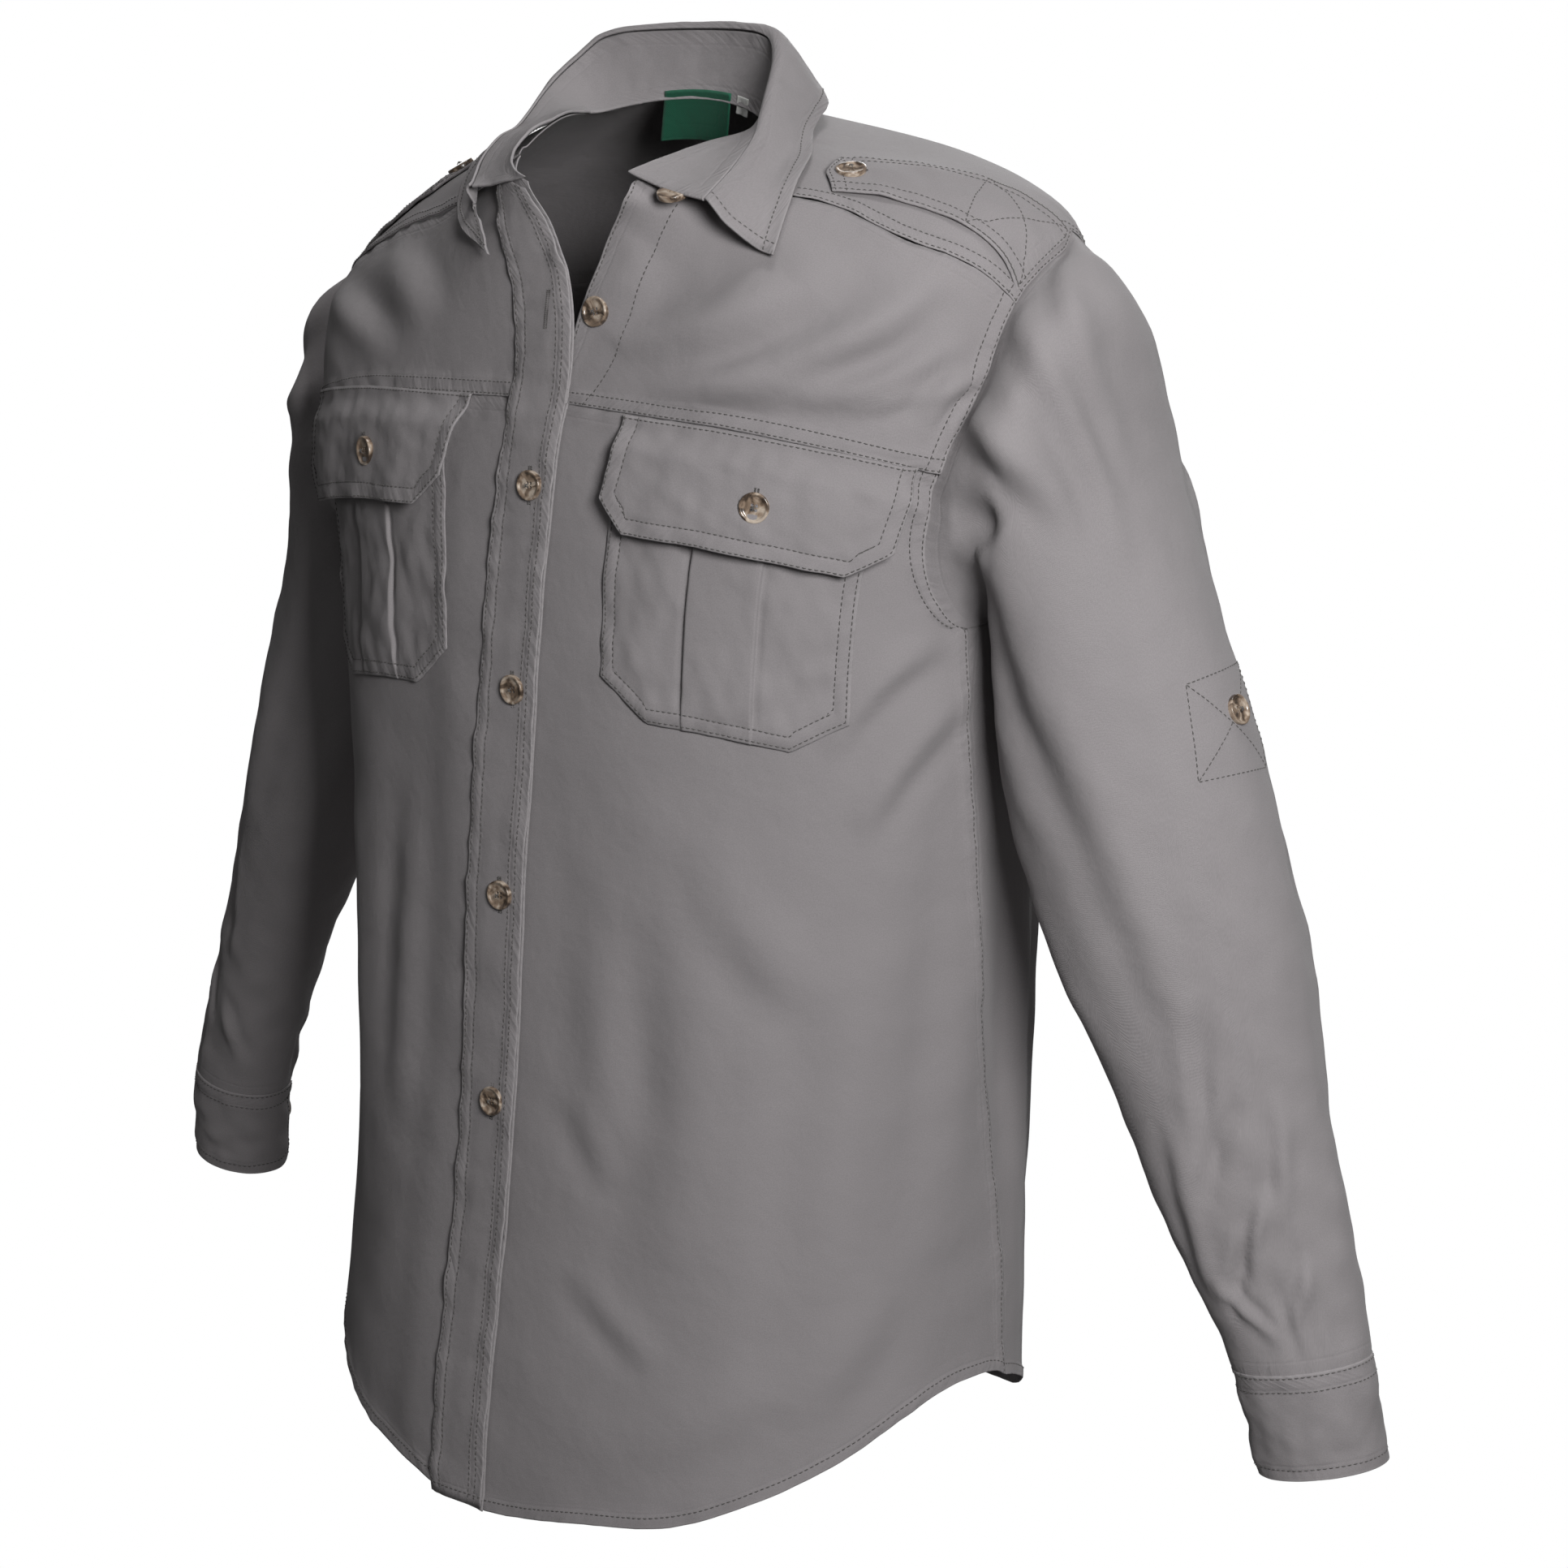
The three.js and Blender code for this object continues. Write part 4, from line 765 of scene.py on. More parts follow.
# Diagonal ribs of a twill with the small unevenness of its yarns. Position is in metres.
def makeWeaveGroup(s):
    group = bpy.data.node_groups.new("twillWeave", "ShaderNodeTree")
    start, end = groupSockets(
        group,
        [("Position", "NodeSocketVector", None), ("Ribs per metre", "NodeSocketFloat", 1700.0)],
        [("Height", "NodeSocketFloat"), ("Shade", "NodeSocketFloat")])
    calc, place = partial(mathNode, group), start.outputs["Position"]
    split = group.nodes.new("ShaderNodeSeparateXYZ")
    group.links.new(place, split.inputs[0])
    diagonal = calc("ADD", split.outputs["X"], split.outputs["Y"])
    wobble = calc("MULTIPLY", noiseNode(group, place, s["wobbleScale"]), s["wobble"])
    ribs = calc("MULTIPLY", calc("ADD", diagonal, wobble), start.outputs["Ribs per metre"])
    wave = calc("SINE", calc("MULTIPLY", ribs, 6.2832))
    yarn = calc("SINE", calc("MULTIPLY", split.outputs["Y"], s["yarnWaves"]))
    group.links.new(calc("ADD", wave, calc("MULTIPLY", yarn, s["yarnShare"])), end.inputs["Height"])
    group.links.new(noiseNode(group, place, s["fleckScale"], 3.0, 0.7), end.inputs["Shade"])
    return group


# Paler, rubbed cloth along stitched edges. Edge is the distance from the nearest edge in metres.
def makeWearGroup():
    group = bpy.data.node_groups.new("edgeWear", "ShaderNodeTree")
    start, end = groupSockets(
        group,
        [("Edge", "NodeSocketFloat", 1.0), ("Position", "NodeSocketVector", None),
         ("Reach", "NodeSocketFloat", 0.0016)],
        [("Mask", "NodeSocketFloat")])
    worn = nearness(group, start.outputs["Edge"], start.outputs["Reach"])
    patches = noiseNode(group, start.outputs["Position"], 240, 3.0, 0.65)
    group.links.new(mathNode(group, "MULTIPLY", worn, patches), end.inputs["Mask"])
    return group


# Small puckers that stitching draws across a seam. Edge and Along are in metres.
def makePuckerGroup():
    group = bpy.data.node_groups.new("seamPucker", "ShaderNodeTree")
    start, end = groupSockets(
        group,
        [("Edge", "NodeSocketFloat", 1.0), ("Along", "NodeSocketFloat", 0.0),
         ("Reach", "NodeSocketFloat", 0.013), ("Row", "NodeSocketFloat", 0.0076),
         ("Row wide", "NodeSocketFloat", 0.0011)],
        [("Height", "NodeSocketFloat")])
    calc, edge = partial(mathNode, group), start.outputs["Edge"]
    slanted = calc("ADD", start.outputs["Along"], calc("MULTIPLY", edge, 0.5))
    place = group.nodes.new("ShaderNodeCombineXYZ")
    group.links.new(slanted, place.inputs["X"])
    group.links.new(calc("MULTIPLY", edge, 0.3), place.inputs["Y"])
    ruffled = noiseNode(group, place.outputs["Vector"], 230, 1.0, 0.5)
    near = nearness(group, edge, start.outputs["Reach"])
    fromRow = calc("ABSOLUTE", calc("SUBTRACT", edge, start.outputs["Row"]))
    groove = nearness(group, fromRow, start.outputs["Row wide"])
    height = calc("MULTIPLY", ruffled, calc("MULTIPLY", near, 2.4))
    group.links.new(calc("SUBTRACT", height, calc("MULTIPLY", groove, 0.35)), end.inputs["Height"])
    return group


weaveGroup = makeWeaveGroup(weaveSettings)
wearGroup = makeWearGroup()
puckerGroup = makePuckerGroup()


def placeGroup(tree, group, inputs):
    node = tree.nodes.new("ShaderNodeGroup")
    node.node_tree = group
    for name, value in inputs.items():
        feed(tree, node.inputs[name], value)
    return node.outputs


def mixColor(tree, share, first, second):
    node = tree.nodes.new("ShaderNodeMix")
    node.data_type = "RGBA"
    for socket, value in ((node.inputs["Factor"], share), (node.inputs[6], first), (node.inputs[7], second)):
        feed(tree, socket, value)
    return node.outputs[2]


clothSettings = {
    "twill": {"color": (0.268, 0.251, 0.256, 1), "dark": (0.208, 0.194, 0.198, 1),
              "worn": (0.30, 0.283, 0.288, 1),
              "ribs": 1700.0, "relief": 0.00016, "sheen": 0.1, "pucker": 0.34},
    "greenLabel": {"color": (0.006, 0.075, 0.040, 1), "dark": (0.004, 0.052, 0.028, 1),
                   "worn": (0.02, 0.14, 0.08, 1),
                   "ribs": 1100.0, "relief": 0.0002, "sheen": 0.1, "pucker": 0.2},
    "whiteTape": {"color": (0.62, 0.62, 0.60, 1), "dark": (0.50, 0.50, 0.48, 1),
                  "worn": (0.75, 0.75, 0.73, 1),
                  "ribs": 1400.0, "relief": 0.0002, "sheen": 0.05, "pucker": 0.1},
    # thread: the thread's own dark colour, deepened further as painted shade of the stitches sinking into
    # the cloth
    "thread": {"color": (0.085, 0.080, 0.078, 1), "dark": (0.055, 0.052, 0.050, 1),
               "worn": (0.1, 0.095, 0.09, 1),
               "ribs": 2500.0, "relief": 0.00008, "sheen": 0.1, "pucker": 0.0},
}
finishSettings = {
    "fleck": (0.32, 0.68), "cloudScale": 26, "cloudShare": 0.35, "wearShare": 1.1, "weaveBump": 0.3,
    "crumpleScale": 75, "crumpleBump": 0.45, "crumpleDeep": 0.0014, "puckerDeep": 0.001,
    "roughness": 0.88, "specular": 0.25,
}


def mapNode(tree, name):
    node = tree.nodes.new("ShaderNodeUVMap")
    node.uv_map = name
    return node.outputs["UV"]


def makeCloth(name, s, finish):
    material, tree, shader = newMaterial(name)
    objectPlace = tree.nodes.new("ShaderNodeTexCoord").outputs["Object"]
    split = tree.nodes.new("ShaderNodeSeparateXYZ")
    tree.links.new(mapNode(tree, "edge"), split.inputs[0])
    fromEdge, along = split.outputs["X"], split.outputs["Y"]
    weave = placeGroup(tree, weaveGroup, {"Position": mapNode(tree, "cloth"), "Ribs per metre": s["ribs"]})
    wear = placeGroup(tree, wearGroup, {"Edge": fromEdge, "Position": objectPlace})
    pucker = placeGroup(tree, puckerGroup, {"Edge": fromEdge, "Along": along})
    fleck = tree.nodes.new("ShaderNodeMapRange")
    fleck.inputs["From Min"].default_value = finish["fleck"][0]
    fleck.inputs["From Max"].default_value = finish["fleck"][1]
    tree.links.new(weave["Shade"], fleck.inputs["Value"])
    color = mixColor(tree, fleck.outputs[0], s["dark"], s["color"])
    cloudy = noiseNode(tree, objectPlace, finish["cloudScale"], 4.0, 0.6)
    color = mixColor(tree, mathNode(tree, "MULTIPLY", cloudy, finish["cloudShare"]), color, s["dark"])
    color = mixColor(tree, mathNode(tree, "MULTIPLY", wear["Mask"], finish["wearShare"]), color, s["worn"])
    tree.links.new(color, shader.inputs["Base Color"])
    crumple = noiseNode(tree, objectPlace, finish["crumpleScale"], 3.0, 0.55)
    bumped = bumpNode(tree, finish["weaveBump"], s["relief"], weave["Height"])
    bumped = bumpNode(tree, finish["crumpleBump"], finish["crumpleDeep"], crumple, bumped)
    bumped = bumpNode(tree, s["pucker"], finish["puckerDeep"], pucker["Height"], bumped)
    tree.links.new(bumped, shader.inputs["Normal"])
    shader.inputs["Roughness"].default_value = finish["roughness"]
    shader.inputs["Sheen Weight"].default_value = s["sheen"]
    shader.inputs["Specular IOR Level"].default_value = finish["specular"]
    return material


cloths = {name: makeCloth(name, s, finishSettings) for name, s in clothSettings.items()}
print("materials ready")

ply = 0.7
doublePly = 1.3


# A piece of cloth in place of its node. flat, in the settings, is the cut's width and length in metres; it
# is not used.
def makePiece(node, panel, thick, slotName="twill"):
    obj = clothPiece(node + "_cloth", panel, thick, cloths[slotName])
    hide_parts(node)


# Fronts, back and yoke. wide, tall and cell set the grid, area is the cut's flat area.
panelSettings = {
    "front_upper_left": {"wide": 200, "tall": 110, "cell": 2.8, "seed": 21,
                         "flat": (0.215, 0.15), "area": 0.0240,
                         "seams": {"left": "free", "right": "over", "top": "under", "bottom": "over"}},
    "front_upper_right": {"wide": 220, "tall": 110, "cell": 2.8, "seed": 22,
                          "flat": (0.235, 0.15), "area": 0.0262,
                          "seams": {"left": "free", "right": "over", "top": "under", "bottom": "over"}},
    "front_lower_left": {"wide": 260, "tall": 560, "cell": 3.4, "seed": 23,
                         "flat": (0.30, 0.58), "area": 0.155,
                         "seams": {"left": "free", "right": "over", "top": "under", "bottom": "hem"}},
    "front_lower_right": {"wide": 240, "tall": 560, "cell": 3.4, "seed": 24,
                          "flat": (0.28, 0.58), "area": 0.142,
                          "seams": {"left": "free", "right": "over", "top": "under", "bottom": "hem"}},
    "back": {"wide": 480, "tall": 590, "cell": 4.2, "seed": 25, "flat": (0.52, 0.60), "area": 0.285,
             "tuck": 5, "sideFrom": backKnee,
             "seams": {"left": "under", "right": "under", "top": "under", "bottom": "hem"}},
    "yoke": {"wide": 560, "tall": 130, "cell": 3.2, "seed": 26, "flat": (0.50, 0.22), "area": 0.088,
             "seams": {"left": "over", "right": "over", "top": "free", "bottom": "over"}},
}
panels = {}
for side, sideName in sides:
    lapped = None if side > 0 else lapHeight
    for part, shape in (("front_upper_", upperFront), ("front_lower_", lowerFront)):
        panels[part + sideName] = bodyPanel(panelSettings[part + sideName], shape(side), lapped)
panels["back"] = bodyPanel(panelSettings["back"], backPanel())
panels["yoke"] = bodyPanel(panelSettings["yoke"], yokePanel())
for name, panel in panels.items():
    makePiece(name, panel, ply)
pitShare = 0.36  # share of a lower front's side edge that is armhole
for side, sideName in sides:
    upper, lower = panels["front_upper_" + sideName], panels["front_lower_" + sideName]
    stitchEdge("front_" + sideName, upper, "bottom", (1.2, 7))
    stitchEdge("front_" + sideName, upper, "right", (1.4, 8))
    stitchEdge("front_" + sideName, lower, "right", (1.4, 8), 0, pitShare)
    stitchEdge("front_" + sideName, lower, "right", (2,), pitShare, 1)
    stitchEdge("front_" + sideName, lower, "bottom", (5.6,))
stitchEdge("front_left", panels["front_upper_left"], "left", (2, 30))
stitchEdge("back", panels["back"], "bottom", (5.6,))
for edgeSide in ("left", "right", "bottom"):
    stitchEdge("yoke", panels["yoke"], edgeSide, (1.2, 6.5))
print("body panels made")

# Sleeves. Columns: centre, half widths, tilt of the ring, twist of its broad way.
sleeveSections = [
    (237, 40, -150, 80, 62, 72, 0), (247, 46, -196, 66, 50, 50, 80), (267, 49, -277, 61, 56, 19, 50),
    (300, 48, -372, 60, 48, 18, 38), (330, 48, -452, 50, 33, 15, 36), (353, 52, -520, 42, 29, 13, 36),
    (373, 58, -581, 34, 28, 11, 34), (383, 64, -633, 31, 27, 11, 34),
]
rightArm = [(-9, 2, -24, 0.95), (-3, 4, -6, 0.92), (-8, 12, 0, 0.92), (-6, 12, 0, 0.95), (-3, 8, 0, 1),
            (0, 4, 0, 1), (2, 0, 0, 1), (2, 0, 0, 1)]  # added to the right arm, and its width
sleeveSettings = {
    "wide": 360, "tall": 450, "cell": 3.6, "steps": 24, "cuffRun": 7, "wrist": 34,
    "slitStep": 15, "slitFrom": 5.667, "slitGaps": {1: 1.5, -1: 9},
    "headLift": 0.1, "tuck": 0.03, "headTuck": 0.6, "cuffTuck": 0.3, "creaseRise": 1.8,
    "wave": 0.8, "waveSize": 80, "ripple": 0.25, "lowRipple": 0.3, "rippleSize": 26, "gather": 0.9,
    "flat": (0.40, 0.47), "area": 0.150, "seed": 31,
    "scale": (14, 80),  # millimetres for each step round the arm and for each section down it
}
# Creases of the sleeves: from step, section, to step, section, width, rise, bend
sleeveCreases = {
    1: [
        (5.5, 0.25, 3.4, 2.1, 8, 4.0, 6), (3.2, 0.1, 2.2, 2.4, 9, 3.0, -6),
        (8.2, 0.5, 6.0, 1.7, 9, -4.0, 4), (1.4, 0.1, 0.6, 2.0, 7, 2.6, 4),
        (7.6, 1.6, 6.2, 3.6, 11, -2.4, 6), (6.2, 2.4, 4.4, 4.6, 12, 1.8, -6),
        (9.5, 2.6, 7.8, 4.8, 11, 1.8, 5), (3.2, 4.4, 5.4, 5.5, 8, -1.8, 4),
        (2.2, 5.6, 5.2, 6.2, 6, 2.2, 3), (4.2, 5.9, 7.2, 6.5, 6, -2.2, 2),
        (1.0, 6.1, 3.6, 6.6, 6, 2.0, -2), (6.4, 5.0, 7.8, 6.4, 7, 1.8, 0),
        (2.6, 5.0, 6.2, 5.6, 7, -1.9, 4), (4.6, 6.7, 7.4, 6.2, 5, 1.9, -2),
        (0.6, 5.0, 2.4, 5.9, 7, 1.7, -3), (12, 1.2, 15, 2.6, 9, 2.4, 4), (14, 2.8, 18, 3.6, 9, 2.0, -3),
        (17, 0.8, 20, 2.4, 10, 2.2, 3), (15.5, 4.0, 19, 5.0, 9, 1.8, 4), (20, 3.2, 21, 5.2, 10, 1.6, 2),
        (13, 5.4, 16.5, 6.2, 7, 1.4, 2),
    ],
    -1: [
        (5.2, 0.3, 3.0, 2.2, 9, 2.6, 6), (8.0, 0.6, 6.0, 2.2, 10, -2.6, 4),
        (2.6, 0.3, 1.4, 2.4, 10, 2.0, -4), (6.4, 2.4, 4.8, 4.6, 12, 1.6, -6),
        (9.4, 2.8, 7.8, 5.0, 11, 1.6, 5), (3.4, 4.6, 5.6, 5.7, 8, -1.4, 4),
        (2.4, 5.8, 5.2, 6.4, 6, 1.3, 3), (6.0, 6.0, 8.6, 6.6, 6, 1.3, 2), (12, 1.4, 15, 2.8, 9, 2.2, 4),
        (14, 3.0, 18, 3.8, 9, 1.8, -3), (17, 1.0, 20, 2.6, 10, 2.0, 3), (15.5, 4.2, 19, 5.2, 9, 1.6, 4),
    ],
}


# step goes round the arm as round its armhole, run goes down from the armhole by sections
def sleeveBase(step, run, side):
    s = sleeveSettings
    step, run = np.broadcast_arrays(np.asarray(step, float), np.asarray(run, float))
    place = armholePlace(step, side)
    rails = [torsoAt(place[..., 0], place[..., 1], np.full(step.shape, s["headLift"]))]
    turn = step / s["steps"] * 2 * np.pi
    for (x, y, z, broad, narrow, tilt, twist), added in zip(sleeveSections, rightArm):
        moreX, moreY, moreZ, wide = added if side < 0 else (0, 0, 0, 1)
        tilt, twist = math.radians(tilt), math.radians(twist)
        reach = wide / np.hypot(np.cos(turn + twist) / broad, np.sin(turn + twist) / narrow)
        out = reach * np.cos(turn)
        rails.append(np.stack([side * (x + moreX + out * math.cos(tilt)), y + moreY - reach * np.sin(turn),
                               z + moreZ + out * math.sin(tilt)], -1))
    rails = np.stack(rails, 0)
    last = len(rails) - 1
    row = np.clip(np.floor(run).astype(int), 0, last - 1)
    share = (run - row)[..., None]
    pick = lambda k: np.take_along_axis(rails, np.clip(row + k, 0, last)[None, ..., None], 0)[0]
    return curved(*(pick(k) for k in (-1, 0, 1, 2)), share)


def sleeveAt(step, run, side, lift):
    s = sleeveSettings
    step, run = np.asarray(step), np.asarray(run)
    base = sleeveBase(step, run, side)
    small = 0.04
    turn = sleeveBase(step + small, run, side) - sleeveBase(step - small, run, side)
    down = sleeveBase(step, run + small, side) - sleeveBase(step, run - small, side)
    normal = unit(np.cross(turn, down)) * side
    loose = smoothStep(0, 0.5, run) * (1 - smoothStep(6.6, s["cuffRun"], run))
    height = s["creaseRise"] * creaseHeight(sleeveCreases[side], step, run, s["scale"], s["steps"])
    height = height + s["wave"] * softNoise(base * (1, 1, 0.6), s["waveSize"], s["seed"] + side)
    rippled = s["ripple"] + s["lowRipple"] * smoothStep(4.6, 6.4, run)
    height = height + rippled * softNoise(base, s["rippleSize"], s["seed"] + 5 + side)
    gathered = smoothStep(6.0, 6.9, run)  # fulness pleated into the cuff
    height = height + s["gather"] * gathered * np.sin(step * 2.6 + 3 * np.sin(step * 0.7))
    return base + normal * (height * loose + lift)[..., None], normal


def buildSleeve(side, s):
    columns = int(s["wide"] / s["cell"])
    runs = s["cuffRun"] * gridLines(s["tall"], s["cell"])
    runs = np.concatenate([[-s["tuck"]], runs[:-1], [s["cuffRun"]]])
    share = np.linspace(0, 1, columns + 1)
    opened = np.interp(runs, [s["slitFrom"], 6, 6.5, s["cuffRun"]], [0, 1 / 3, 2 / 3, 1])
    away = opened * s["slitGaps"][side] / (s["wrist"] * 2 * np.pi) * s["steps"] / 2
    steps = s["slitStep"] + away[None, :] + share[:, None] * (s["steps"] - 2 * away[None, :])
    grid = np.broadcast_to(runs, steps.shape)
    inCuff = smoothStep(6.93, 6.99, grid)  # the sleeve's end is caught between the cuff's two plies
    lift = np.where(grid < 0, -s["headTuck"], -s["cuffTuck"] * inCuff)
    points, normals = sleeveAt(steps, grid, side, lift)
    joined = int(np.searchsorted(runs, s["slitFrom"])) + 1
    return panelOf(points, normals, joined=joined, worn=("top", "bottom"))


for side, sideName in sides:
    makePiece("sleeve_" + sideName, buildSleeve(side, sleeveSettings), ply)


# A stitched line on a sleeve through places given as step and section
def stitchSleeve(side, sideName, corners):
    share = np.linspace(0, 1, 60)
    for begin, finish in zip(corners[:-1], corners[1:]):
        points, normals = sleeveAt(begin[0] + (finish[0] - begin[0]) * share,
                                   begin[1] + (finish[1] - begin[1]) * share, side, np.zeros(share.shape))
        addStitches("sleeve_" + sideName, points, normals)


# The box that holds the roll-up tab inside the sleeve
tabBox = [(21.6, 2.86), (25.2, 2.9), (25.6, 3.34), (22.1, 3.36), (21.6, 2.86), (25.6, 3.34)]
for side, sideName in sides:
    stitchSleeve(side, sideName, tabBox)
    stitchSleeve(side, sideName, [tabBox[1], tabBox[3]])
print("sleeves made")

# Cuffs: the left one buttoned with its ends lapped, the right one hanging open
cuffSettings = {
    "girth": 2 * math.pi * 28, "laps": {1: 24, -1: -12}, "corner": 13, "tall": 52, "centre": (378, 61),
    "cellAcross": 1.9, "cellDown": 2.4, "tuck": 0.02, "lift": 0.8, "pressed": 0.45, "lapLift": 2.6,
    "wave": 0.45, "waveSize": 30, "ripple": 0.2, "rippleSize": 12, "sunk": 0.25,
    "flat": {1: (0.205, 0.058), -1: (0.17, 0.058)}, "seed": 41,
}


def cuffAt(side, share, down, lift):
    s = cuffSettings
    share, down = np.broadcast_arrays(np.asarray(share, float), np.asarray(down, float))
    lap = s["laps"][side]
    length = s["girth"] + lap
    along = share * length
    step = sleeveSettings["slitStep"] + (along - lap / 2) / s["girth"] * sleeveSettings["steps"]
    lapped = smoothStep(length - 2.2 * lap, length - 1.1 * lap, along) if lap > 0 else np.zeros(share.shape)
    nearCorner = np.maximum(s["corner"] - np.minimum(along, length - along), 0)
    cut = s["corner"] - np.sqrt(np.maximum(s["corner"] ** 2 - nearCorner ** 2, 0))
    run = sleeveSettings["cuffRun"] + down * (s["tall"] - cut) / s["tall"]
    point = sleeveBase(step, run, side)
    middleX, middleY = (np.full(step.shape, value) for value in (side * s["centre"][0], s["centre"][1]))
    out = unit(point - np.stack([middleX, middleY, point[..., 2]], -1))
    return point + out * (lapped * s["lapLift"] + lift)[..., None], out


def buildCuff(side, s):
    share = gridLines(s["girth"] + s["laps"][side], s["cellAcross"])
    down = np.concatenate([[-s["tuck"]], gridLines(s["tall"], s["cellDown"])])
    u, v = np.meshgrid(share, down, indexing="ij")
    points, out = cuffAt(side, u, v, s["lift"] - s["pressed"] * np.exp(-(v * s["tall"] / 2.5) ** 2))
    edges = edgeDistances(points)
    normals = gridNormals(points, out)
    wrinkle = (s["wave"] * softNoise(points * (1, 1, 1.8), s["waveSize"], s["seed"] + side)
               + s["ripple"] * softNoise(points, s["rippleSize"], s["seed"] + 7))
    inside = smoothStep(0, 8, np.minimum.reduce(list(edges.values())))
    points = points + normals * (wrinkle * (0.3 + 0.7 * inside))[..., None]
    # The cloth sinks along the stitches
    sunk = np.exp(-(edges["bottom"] - 5) ** 2 / 3) + np.exp(-(edges["top"] - 9) ** 2 / 3)
    return panelOf(points - normals * (s["sunk"] * sunk)[..., None], out, edges)


for side, sideName in sides:
    cuff = buildCuff(side, cuffSettings)
    makePiece("cuff_" + sideName, cuff, doublePly)
    for edgeSide, insets in (("top", (1.6, 9)), ("bottom", (5.5,)), ("left", (5.5,)), ("right", (5.5,))):
        stitchEdge("cuff_" + sideName, cuff, edgeSide, insets)
print("cuffs made")

# Collar: share, roll and outer edge, from the wearer's right front end round to the left one
collarRoll = [
    (0, -46, -73, -30), (0.09, -56, -52, -23), (0.18, -67, -18, -8), (0.27, -83, 24, 12),
    (0.38, -80, 44, 26), (0.46, -64, 54, 38), (0.576, -6, 60, 42), (0.7, 37, 52, 41),
    (0.79, 58, 36, 31), (0.88, 75, 9, 13), (0.94, 90, -20, -4), (0.97, 98, -45, -16),
    (1, 104, -72, -28),
]
collarEdge = [
    (0, -22, -88, -60), (0.09, -62, -68, -46), (0.18, -86, -24, -26), (0.27, -99, 20, -12),
    (0.38, -97, 56, -3), (0.46, -76, 82, 6), (0.576, -2, 94, 14), (0.7, 48, 82, 12), (0.79, 74, 57, 9),
    (0.88, 89, 28, -3), (0.94, 108, 2, -24), (0.97, 118, -20, -42), (1, 129, -46, -58),
]
collarSettings = {
    "rollRadius": 4, "standClearance": 4, "fallClearance": 5, "bandEndShare": 0.15, "steps": 32, "finer": 5,
    "wall": 1.8, "gap": 0.3, "tuck": 5, "wave": 0.35, "waveSize": 32, "ripple": 0.15, "rippleSize": 12,
    "standFlat": (0.41, 0.034), "fallFlat": (0.46, 0.042), "seed": 51,
}


def neckSeamPoint(share):
    first = freeEdgePlace(-1, 0.0)[..., 0]
    last = freeEdgePlace(1, 0.0)[..., 0] - 360
    around = wrapped(first + (last - first) * share)
    return torsoAt(around, np.zeros(np.shape(around)), np.zeros(np.shape(around)))


def collarFrame(share):
    seam = neckSeamPoint(share)
    stand = readAt(collarRoll, share) - seam
    middle = lambda at: readAt(collarRoll, at) + neckSeamPoint(at)
    along = middle(np.minimum(share + 0.01, 1)) - middle(np.maximum(share - 0.01, 0))
    return seam, stand, unit(stand), unit(np.cross(stand, along))


# Points of the shoulders that the collar rests on
shoulderAround, shoulderLevel = np.meshgrid(np.arange(-180, 180, 3.0), np.arange(0, 2.61, 0.1),
                                            indexing="ij")
shoulderPoints = torsoAt(shoulderAround, shoulderLevel, np.zeros(shoulderAround.shape)).reshape(-1, 3)
shoulderNormals = torsoNormal(shoulderAround, shoulderLevel).reshape(-1, 3)


def restOn(points, clearance):
    shape = points.shape
    flat = points.reshape(-1, 3)
    clearance = np.broadcast_to(clearance, shape[:-1]).reshape(-1)
    distance = np.linalg.norm(flat[:, None] - shoulderPoints[None], axis=-1)
    nearest = np.argmin(distance, axis=1)
    height = np.sum((flat - shoulderPoints[nearest]) * shoulderNormals[nearest], axis=-1)
    raised = np.maximum(clearance - height, 0)[:, None] * shoulderNormals[nearest]
    return (flat + raised).reshape(shape)


# Refines a coarse grid smoothly in both directions
def refined(grid, columns, rows):
    first = readSmooth(grid.reshape(grid.shape[0], -1), columns).reshape(len(columns), *grid.shape[1:])
    turned = first.transpose(1, 0, 2)
    second = readSmooth(turned.reshape(turned.shape[0], -1), rows).reshape(len(rows), *turned.shape[1:])
    return second.transpose(1, 0, 2)


